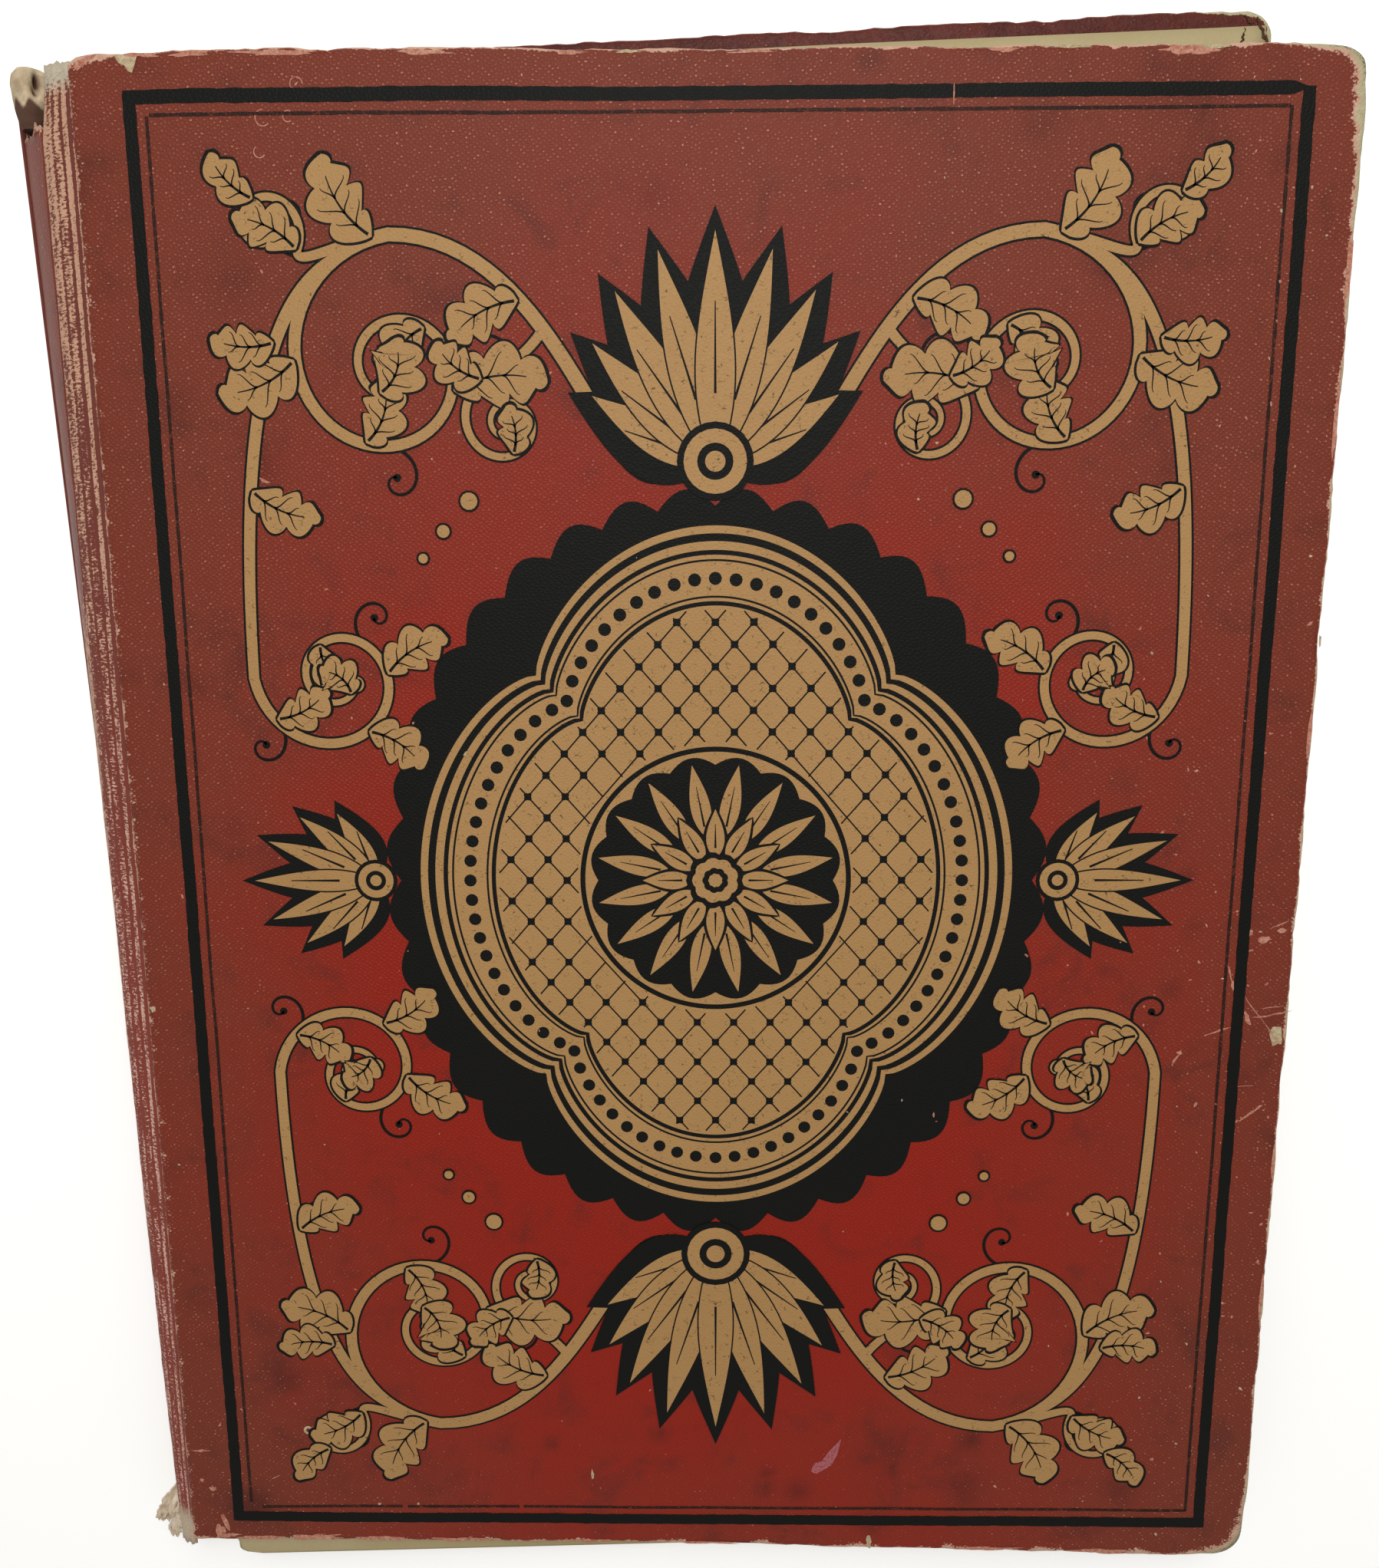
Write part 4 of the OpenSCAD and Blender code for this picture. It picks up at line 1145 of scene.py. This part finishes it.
def joint_cloth(name):
    """Rubbed cloth, read by UV, u across the joint and v along it: bare thread between lines of old red."""
    material, add, p = finish_named(name, "UV")
    waver, patch = [
        add("TexNoise", {"Vector": add("Mapping", {"Vector": p, "Scale": (across, along, 1)}), "Scale": 1,
                         "Detail": 4, "Roughness": 0.6})
        for across, along in ((0.5, 0.035), (0.35, 0.09))]
    grainy = add("Mapping", {"Vector": p, "Scale": (0.9, 2.3, 1)})
    threads = add("TexNoise", {"Vector": grainy, "Scale": 1, "Detail": 3, "Roughness": 0.7})
    across, height, _ = add("SeparateXYZ", {0: p}).outputs
    place = add("Math MULTIPLY_ADD", {0: waver, 1: 1.6, 2: across})
    place = add("MapRange", {"Value": place, "From": (0.8, 10.3)})
    bands = add("ValToRGB", {"Fac": place})
    stops = bands.color_ramp.elements
    for at, level in joint_bands[1:-1]:
        stops.new(at)
    for stop, (at, level) in zip(stops, joint_bands):
        stop.position, stop.color = at, (level, level, level, 1)
    share = add("Math MULTIPLY_ADD", {0: threads, 1: 1.25, 2: bands})
    share = add("Math MULTIPLY_ADD", {0: patch, 1: 0.7, 2: share})
    kept = add("MapRange SMOOTHSTEP", {"Value": height, "From": (125, 40), "To": (0, -0.13)})
    share = add("Math ADD", {0: share, 1: kept})
    peach = add("MapRange SMOOTHSTEP", {"Value": share, "From": (1.44, 1.54)})
    tone = add("Mix RGBA", {0: threads, 6: "#b5826a", 7: "#d3ab8b"})
    pink_and_painted_light = add("Mix RGBA", {0: threads, 6: "#c48e80", 7: "#e9c3b3"})
    # painted light: toward the tail the threads are pinker and paler and the dye is lighter, partly the
    # joint's own colour and partly making up for the shade its steep slope gets there
    lower = add("MapRange SMOOTHSTEP", {"Value": height, "From": (110, -60)})
    tone = add("Mix RGBA", {0: lower, 6: tone, 7: pink_and_painted_light})
    dyed = add("Mix RGBA", {0: lower, 6: "#6b3026", 7: "#84382b"})
    colour = add("Mix RGBA", {0: peach, 6: dyed, 7: tone})
    # past the ends of the spine cloth nothing is left but pale, dirty backing
    ragged = add("Math MULTIPLY_ADD", {0: threads, 1: 9, 2: height})
    worn_head = add("MapRange SMOOTHSTEP", {"Value": ragged, "From": (148.3, 151.3)})
    worn_tail = add("MapRange SMOOTHSTEP", {"Value": ragged, "From": (-137.5, -142)})
    for worn, dirty, pale in ((worn_head, "#a3927b", "#d2c8b4"), (worn_tail, "#a88f78", "#d6c6ab")):
        backing = add("Mix RGBA", {0: threads, 6: dirty, 7: pale})
        colour = add("Mix RGBA", {0: worn, 6: colour, 7: backing})
    return skin(material, add, {"Base Color": colour, "Roughness": 0.82, "IOR": 1.45}, threads, 0.7, 0.2)


rubbed_joint = joint_cloth("rubbed_joint_cloth")
k = np.linspace(0, 1, 170)[:, None]
# across the joint: shares of its width, and how far the cloth has dropped at each
profiles = {
    "front": [(0, 0.05, 0.1, 0.16, 0.24, 0.33, 0.43, 0.54, 0.65, 0.76, 0.86, 0.94, 1),
              (1.5, 0.85, 0.62, 0.75, 1.25, 1.75, 1.95, 2.15, 2.55, 3.1, 3.7, 4.3, 5.3)],
    "back": [(0, 0.06, 0.14, 0.26, 0.4, 0.55, 0.7, 0.84, 0.94, 1),
             (1.6, 0.9, 0.7, 0.95, 1.35, 1.7, 2.2, 3, 4, 5.2)],
}
for side in ("front", "back"):
    across, down = map(np.array, profiles[side])
    # the joint's line on the cover, its line on the spine, and how high it starts and ends there
    if side == "front":
        along, far_y, shoulder_z, drop_z = -1.5 + 301.9 * k, -152.4 + 301.6 * k, 11.3, 10.7
    else:
        along, far_y, shoulder_z, drop_z = 1 + 298 * k, -141.5 + 284.5 * k, 4.9, 5.5
    edge = cover_point(side, 0.5, along, 0)
    far_x = spine_face(np.clip(far_y, -150, 142), shoulder_z) - 0.12
    if side == "front":
        far_x = far_x + 1.7 * ramp(far_y, 137, 148)
    x = edge[..., 0] + (far_x - edge[..., 0]) * across
    y = edge[..., 1] + (far_y - edge[..., 1]) * across
    head_fray = np.exp(-(1 - k) * 60) * ripple(9 * across, 83, shortest=0.6, longest=5)
    tail_fray = np.exp(-k * 60) * ripple(9 * across, 84, shortest=0.6, longest=5)
    y = y + 0.55 * (head_fray - tail_fray)
    z = edge[..., 2] + (drop_z - edge[..., 2]) * down / down[-1]
    z = z + 0.1 * ripple(y + 40 * across, 81, shortest=6, longest=60) * np.sin(math.pi * across)
    faces = grid_faces(170, len(across))[:, ::-1 if side == "front" else 1]
    piece = mesh_piece(side + "_joint_cloth", np.stack([x, y, z], -1), faces, rubbed_joint)
    flat_uv(piece, np.broadcast_to(across * 9.5, x.shape), y)
    thicken(piece, "cloth_thickness", cloth_t)
    if side == "front":
        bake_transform(piece)
    else:
        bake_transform(piece)


# ---- Worn ends of the spine ----
# At the head the cloth is worn through, and the rolled paper core in its paste-stiffened cloth shows as a
# pale lump with a hole in it. At the tail the cloth has come away round the core and hangs in tatters.

def pasted_cloth(name, pale, mid, dark):
    """Bare cloth stiff with old paste: cream, darkened by the hollow share on the mesh, which holds painted
    shade in folds and holes and, at the head, old dye.
    """
    material, add, p = finish_named(name)
    cloud = add("TexNoise", {"Vector": p, "Scale": 0.35, "Detail": 5, "Roughness": 0.65})
    thread = add("TexNoise", {"Vector": p, "Scale": 2.4, "Detail": 4, "Roughness": 0.7, "Distortion": 0.4})
    tone = add("Math MULTIPLY_ADD", {0: thread, 1: 0.5, 2: cloud})
    tone = add("MapRange", {"Value": tone, "From": (0.55, 0.95)})
    colour = add("Mix RGBA", {0: tone, 6: mid, 7: pale})
    hollow = add("Attribute hollow").outputs["Fac"]
    colour = add("Mix RGBA", {0: hollow, 6: colour, 7: dark})
    surface = {"Base Color": colour, "Roughness": 0.9, "Specular IOR Level": 0.2}
    return skin(material, add, surface, thread, 0.5, 0.2)


def lump(name, stations, seed, fold, holes, shade_end, material):
    """Closed tube along the spine through stations (x, y, z, half width, half height). Its radius swells in
    folds that twist slowly along it, with painted shade where they sink in. Each hole (x, y, z, radius,
    depth) presses it inward over a bell-shaped patch, painted dark as shade. Below shade_end along the spine
    it is dark with old dye and painted shade."""
    rows, cols = 64, 56
    k = np.linspace(0, len(stations) - 1, rows)
    x0, y0, z0, rx, rz = (np.interp(k, range(len(stations)), values)[:, None] for values in zip(*stations))
    a = around(cols)[None, :]
    swell = 1 + fold * np.sin(3 * a + 0.7 * y0 + seed) + 0.55 * fold * np.sin(7 * a - 1.3 * y0)
    swell = swell + 0.35 * fold * ripple(6 * a + 2 * y0, seed, shortest=1.2, longest=9)
    core = np.stack([x0 + 0 * a, y0 + 0 * a, z0 + 0 * a], -1)
    points = core + np.stack([rx * swell * np.cos(a), 0 * swell, rz * swell * np.sin(a)], -1)
    # painted shade: darker where the folds sink in
    dark = np.clip(0.16 * (1 - swell) / fold, 0, 0.2)
    # below the border: old dye of the torn spine cloth, with painted shade
    border = shade_end + 0.7 * np.sin(2.3 * points[..., 0] + seed)
    border = border + 0.2 * ripple(3 * a + 0 * y0, seed + 5, shortest=1, longest=5)
    dark = np.maximum(dark, 0.93 * ramp(border - points[..., 1], -0.1, 0.45))
    for *place, radius, depth in holes:
        near = np.exp(-(((points - place) / (radius, 1.7 * radius, 1.4 * radius)) ** 2).sum(-1))
        points = points + unit(core - points) * (depth * near)[..., None]
        # painted shade in the hole
        dark = np.maximum(dark, np.clip(2.2 * near - 0.5, 0, 1))
    faces = grid_faces(rows, cols, closed=True)
    caps = [list(range(cols)), list(range(rows * cols - 1, (rows - 1) * cols - 1, -1))]
    piece = mesh_piece(name, points, faces[:, ::-1].tolist() + [c[::-1] for c in caps], material)
    store(piece, "hollow", dark)
    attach(piece, "text_block")
    return piece


def tatter(name, path, widths, twist, seed, material):
    """A torn strip of cloth: a grid round a smoothed path, with a half width and a twist at each point. Its
    edges wave and its end is cut to a ragged line by ripples."""
    rows, cols = 40, 13
    path, last = np.array(path, float), len(path) - 1
    k = np.linspace(0, last, rows)
    across = np.linspace(-1, 1, cols)[None, :]
    ragged = 1 + 0.1 * ripple(3 * across, seed, shortest=0.5, longest=4)
    reach = np.minimum(k[:, None] * ragged, last)
    step = np.minimum(np.floor(reach).astype(int), last - 1)
    part = reach - step
    soft = (1 - np.cos(math.pi * part)) / 4 + part / 2
    line = path[step] + (path[step + 1] - path[step]) * soft[..., None]
    width = np.interp(reach, range(last + 1), widths)[..., None]
    twisted = np.interp(reach, range(last + 1), np.radians(twist))[..., None]
    way = np.gradient(line[:, cols // 2], axis=0)
    # past the torn end the strip keeps its last direction
    moving = np.maximum.accumulate(np.where(np.linalg.norm(way, axis=-1) > 1e-9, np.arange(rows), 0))
    way = unit(way[moving])
    flat = unit(np.cross(way, (0, 0, 1)))
    rise = np.cross(flat, way)
    side = flat[:, None] * np.cos(twisted) + rise[:, None] * np.sin(twisted)
    wave = ripple(k[:, None] * 4 + 5 * across, seed + 1, shortest=2.5, longest=14)
    curl = 0.25 * wave + 0.2 * across ** 2 * width[..., 0]
    edge = 1 + 0.12 * ripple(k[:, None] * 5 + 0 * across, seed + 2, shortest=1.2, longest=8)
    lift = np.cross(side, way[:, None]) * curl[..., None]
    points = line + side * width * (across * edge)[..., None] + lift
    piece = mesh_piece(name, points, grid_faces(rows, cols), material)
    # painted shade: darker where the strip curls under
    store(piece, "hollow", np.clip(0.02 - 0.45 * curl, 0, 0.3))
    thicken(piece, "cloth_thickness", cloth_t, 0)
    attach(piece, "text_block")
    return piece


head_paste = pasted_cloth("paste_stiffened_cloth", "#d6c3a2", "#b09a7d", "#4a2b22")
tail_paste = pasted_cloth("frayed_pink_cloth", "#eedfc8", "#cdb497", "#3f261d")
# each lump's stations along the spine (x, y, z, half width, half height), and its holes
head_lump = [
    (-114.6, 139.9, 7.2, 1.9, 2.4), (-114.5, 140.8, 7.4, 2.4, 2.8), (-114.3, 142.6, 7.8, 2.8, 3.1),
    (-114.2, 145, 8, 3, 3.3), (-114.1, 147.4, 8, 3.2, 3.4), (-114, 149, 8, 3, 3.3),
    (-113.8, 149.9, 8, 2.3, 2.7), (-113.6, 150.2, 8, 1.1, 1.6), (-113.5, 150.1, 8, 0.4, 0.7),
]
head_holes = [(-111.5, 147.6, 10, 0.9, 2.2), (-112, 146.2, 10.4, 0.7, 1.8)]
piece = lump("head_core_torn", head_lump, 4, 0.022, head_holes, 144.1, head_paste)
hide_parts("head_core")
tail_lump = [
    (-117.9, -139.8, 8.2, 0.3, 0.8), (-118.2, -141.4, 8.2, 1.2, 2), (-119, -144, 8.2, 2, 2.9),
    (-119.7, -147, 8, 2.4, 3), (-120.1, -149.6, 7.8, 2.2, 2.8), (-120, -151.4, 7.6, 1.5, 2),
    (-119.9, -152, 7.6, 0.5, 0.8),
]
tail_holes = [(-118.6, -145.6, 10.6, 0.7, 1.5), (-118.4, -149.6, 10.2, 0.6, 1.6)]
piece = lump("tail_core_frayed", tail_lump, 9, 0.1, tail_holes, -400, tail_paste)
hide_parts("tail_core")
# each tatter: its path, its half widths and its twist in degrees along the path, and its seed
tatters = [
    ([(-117.2, -139.5, 10.4), (-119.6, -143, 10), (-122.2, -147, 8.7), (-124, -150.2, 7.6),
      (-124.4, -152, 7.2)], [0.9, 1.9, 2.1, 1.7, 1.1], [5, 12, 25, 20, 10], 31),
    ([(-117.2, -142.5, 11.4), (-118.4, -146.6, 11), (-120.4, -150.6, 9.6), (-121.9, -154, 8),
      (-122.4, -155.6, 7.6)], [0.8, 1.5, 1.6, 1.3, 0.7], [0, 20, -25, 10, 0], 35),
    ([(-115.2, -143, 12.6), (-115.8, -147.5, 12.3), (-116.6, -151.2, 11.6), (-117, -153.4, 10.8)],
     [0.9, 1.5, 1.4, 0.8], [5, -10, 15, 5], 39),
    ([(-120.6, -145, 9.6), (-123.4, -148.6, 8.6), (-125.6, -151.6, 7)],
     [0.9, 1.3, 0.5], [-30, -50, -20], 43),
]
for i, (path, widths, twist, seed) in enumerate(tatters):
    tatter("tail_tatter_%d" % (i + 1), path, widths, twist, seed, tail_paste)


# ---- Linings, tapes and thread of the sewn block ----
# Gauze, linen tapes, linen thread, kraft paper and folded paper guards hold the leaves together. They stay
# inside the cover and show only at its ends and when it stands open.

def woven(name, warp, weft, pitch, gap, depth):
    """Plain weave: a sine across and a sine along at one pitch, and the higher of the two threads shows.
    gap is how dark it is between threads, most in gauze."""
    material, add, p = finish_named(name, scale=1000 * math.pi / pitch)
    waver = add("TexNoise", {"Vector": p, "Scale": 0.35, "Detail": 3})
    x, y, z = add("SeparateXYZ", {0: add("VectorMath ADD", {0: p, 1: waver})}).outputs
    ways = add("Math ADD", {0: x, 1: z}), y
    ridge = [add("Math ABSOLUTE", {0: add("Math SINE", {0: way})}) for way in ways]
    over = add("Math GREATER_THAN", {0: ridge[0], 1: ridge[1]})
    height = add("Math MAXIMUM", {0: ridge[0], 1: ridge[1]})
    colour = add("Mix RGBA", {0: over, 6: weft, 7: warp})
    shade = add("MapRange", {"Value": height, "From": (0.35, 0.75), "To": (gap, 0)})
    colour = add("Mix RGBA", {0: shade, 6: colour, 7: "#5f4f38"})
    soil = add("MapRange", {"Value": waver, "From": (0.4, 0.7), "To": (0, 0.35)})
    colour = add("Mix RGBA", {0: soil, 6: colour, 7: "#8b7450"})
    surface = {"Base Color": colour, "Roughness": 0.88, "Specular IOR Level": 0.25}
    return skin(material, add, surface, height, 0.7, depth)


def plain_paper(name, base, dark, sheets):
    """Old paper, read by place: fibres, and the edges of sheets stacked so many millimetres thick."""
    material, add, p = finish_named(name)
    fibre = add("TexNoise", {"Vector": p, "Scale": 0.9, "Detail": 6, "Roughness": 0.7})
    flattened = add("Mapping", {"Vector": p, "Scale": (0.02, 0.02, 1 / sheets)})
    layers = add("TexNoise", {"Vector": flattened, "Scale": 1.6, "Detail": 3, "Roughness": 0.6})
    tone = add("Math MULTIPLY_ADD", {0: layers, 1: 0.7, 2: fibre})
    share = add("MapRange", {"Value": tone, "From": (0.6, 1.05)})
    colour = add("Mix RGBA", {0: share, 6: dark, 7: base})
    surface = {"Base Color": colour, "Roughness": 0.88, "Specular IOR Level": 0.3}
    return skin(material, add, surface, tone, 0.5, 0.1)


gauze = woven("open_cotton_gauze", "#d6c9a6", "#c6b58e", 1.1, 0.8, 0.15)
tape = woven("linen_sewing_tape", "#d8cba9", "#c3b28c", 0.55, 0.25, 0.08)
linings = {
    "front_mull": gauze, "back_mull": gauze, "spine_mull": gauze,
    "front_tape_ends": tape, "back_tape_ends": tape, "sewing_tapes": tape,
    "sewing_thread": woven("waxed_linen_thread", "#cdbd94", "#b6a277", 0.3, 0.4, 0.06),
    "spine_inlay": board_finish,
    "spine_lining": plain_paper("kraft_lining_paper", "#a5825a", "#7c5d3c", 2),
    "section_folds": plain_paper("folded_leaf_backs", "#cfc29c", "#93835c", 0.45),
    "guard_strips": plain_paper("guard_paper", "#c4b58c", "#8c7a52", 0.5),
}
for name, material in linings.items():
    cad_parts[name].data.materials[0] = material


# ---- Leaves ----
# Flyleaves, a title leaf, four single leaves and five gathered sections of album paper, printed on both
# sides with empty boxes for stamps. Each is bound in at the gutter.

leaf_x, leaf_y = -104.6, -156.5
leaf_w, leaf_h = 213.8, 292
bound = 7
# the gutter strip of a leaf, and the radius of its outer corners
gutter_w, round_r = 30, 3
leaf_size = (leaf_w + bound, leaf_h)
papers = {
    "flyleaf": old_paper("toned_flyleaf", "#d3c8a4", "#a39063", leaf_size, 0.5),
    "title": old_paper("title_leaf_paper", "#ddd3b4", "#a8966a", leaf_size, 0.3,
                       ((150, 190), (138, 178), (35.4, 51))),
    "leaf": old_paper("album_leaf_paper", "#e0d7bb", "#aa996e", leaf_size, 0.35,
                      ((29, 34), (23, 27), (23.4, 27))),
}


def leaf_sheet(name, paper, top, thick, width, height, drop, seed):
    """A sheet from the gutter to the fore-edge: a grid with rounded outer corners, slightly wavy at its free
    edges. The spine leans over the block, so the higher a sheet lies, the less of it is bound in."""
    hidden = float(np.interp(top, [8.5, 10.5, 12.6], [0, 1.4, 3.4]))
    far = bound + width
    r, rise = round_r, height - round_r
    u = np.concatenate([np.linspace(hidden, gutter_w, 26), np.linspace(gutter_w, far, 36)[1:]])
    v = np.concatenate([np.linspace(0, r, 7), np.linspace(r, rise, 44)[1:], np.linspace(rise, height, 7)[1:]])
    rows, cols = len(v), len(u)
    u, v = np.meshgrid(u, v)
    # the gutter corner at the tail is worn away in an arc 5 mm wide and 2 mm high
    worn_u = 6.1 + 5 * (1 - np.sqrt(1 - ramp(v, 1.9, 0) ** 2)) - (6.1 - hidden) * ramp(v, 4, 12)
    share = (gutter_w - u) / (gutter_w - hidden)
    u = np.where(u < gutter_w, gutter_w - share * (gutter_w - np.maximum(worn_u, hidden)), u)
    # outer corners: points of the last 3 mm are drawn in along a quarter circle
    a = np.clip((u - (far - r)) / r, 0, 1)
    b = np.maximum((v - rise) / r, (r - v) / r)
    cut = (a > 0) & (b > 0)
    scale = np.where(cut, np.maximum(a, b) / np.maximum(np.hypot(a, b), 1e-9), 1)
    u = np.where(cut, far - r + a * r * scale, u)
    v = np.where(cut, np.where(v > height / 2, rise + b * r * scale, r - b * r * scale), v)
    free = np.clip((u - 60) / width, 0, 1)
    wave = 0.5 * ripple(v + 0.6 * u, seed, shortest=60, longest=240) * free
    points = np.stack([leaf_x - bound + u, leaf_y - drop + v, top + 0 * u], -1)
    points[..., 2] += np.clip(wave, -1, 1) * 0.025
    piece = mesh_piece(name, points, grid_faces(rows, cols), paper)
    flat_uv(piece, u, v)
    thicken(piece, "paper_thickness", thick)
    return piece


stack_top, stack_gap = 12.6, 0.06
fly_t, title_t, leaf_t = 0.2, 0.25, 0.3
# the lowest leaf lies on the lining paper of the back cover
lowest = 3.35
section_t = (stack_top - lowest - 2 * fly_t - title_t - 4 * leaf_t - 11 * stack_gap) / 5
# of the height of a fold, the share that is paper; the rest is air
fold_share = 0.86
# name, paper, thickness, number of sheets, how much wider it is and how much lower it lies, and slot
leaves = [("front_flyleaf", "flyleaf", fly_t, 1, 0, 0, "endpaper"),
          ("title_leaf", "title", title_t, 1, -0.8, 0, "leaf_paper")]
for i in range(4):
    leaves.append(("leaf_%d" % (i + 1), "leaf", leaf_t, 1, -0.4 * (i % 3), -0.4 * (i % 2), "leaf_paper"))
for i in range(5):
    name = "section_%d" % (i + 1)
    leaves.append((name, "leaf", section_t, 5, -0.6 * (i % 2), -0.5 * (i % 3), "leaf_paper"))
leaves.append(("back_flyleaf", "flyleaf", fly_t, 1, 0, -1, "endpaper"))
top = stack_top
rng = np.random.default_rng(7)
for name, paper, thick, count, wider, lower, finish in leaves:
    one = thick / count
    for i in range(count):
        shift = rng.uniform(-0.35, 0.15, 2) if count > 1 else (0, 0)
        sheet_name = name + ("_fold_%d" % (i + 1) if count > 1 else "_sheet")
        piece = leaf_sheet(sheet_name, papers[paper], top - i * one, one * (fold_share if count > 1 else 1),
                           leaf_w + wider + shift[0], leaf_h, lower + shift[1], int(rng.integers(1000)))
        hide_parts(name)
        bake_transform(piece)
    top -= thick + stack_gap
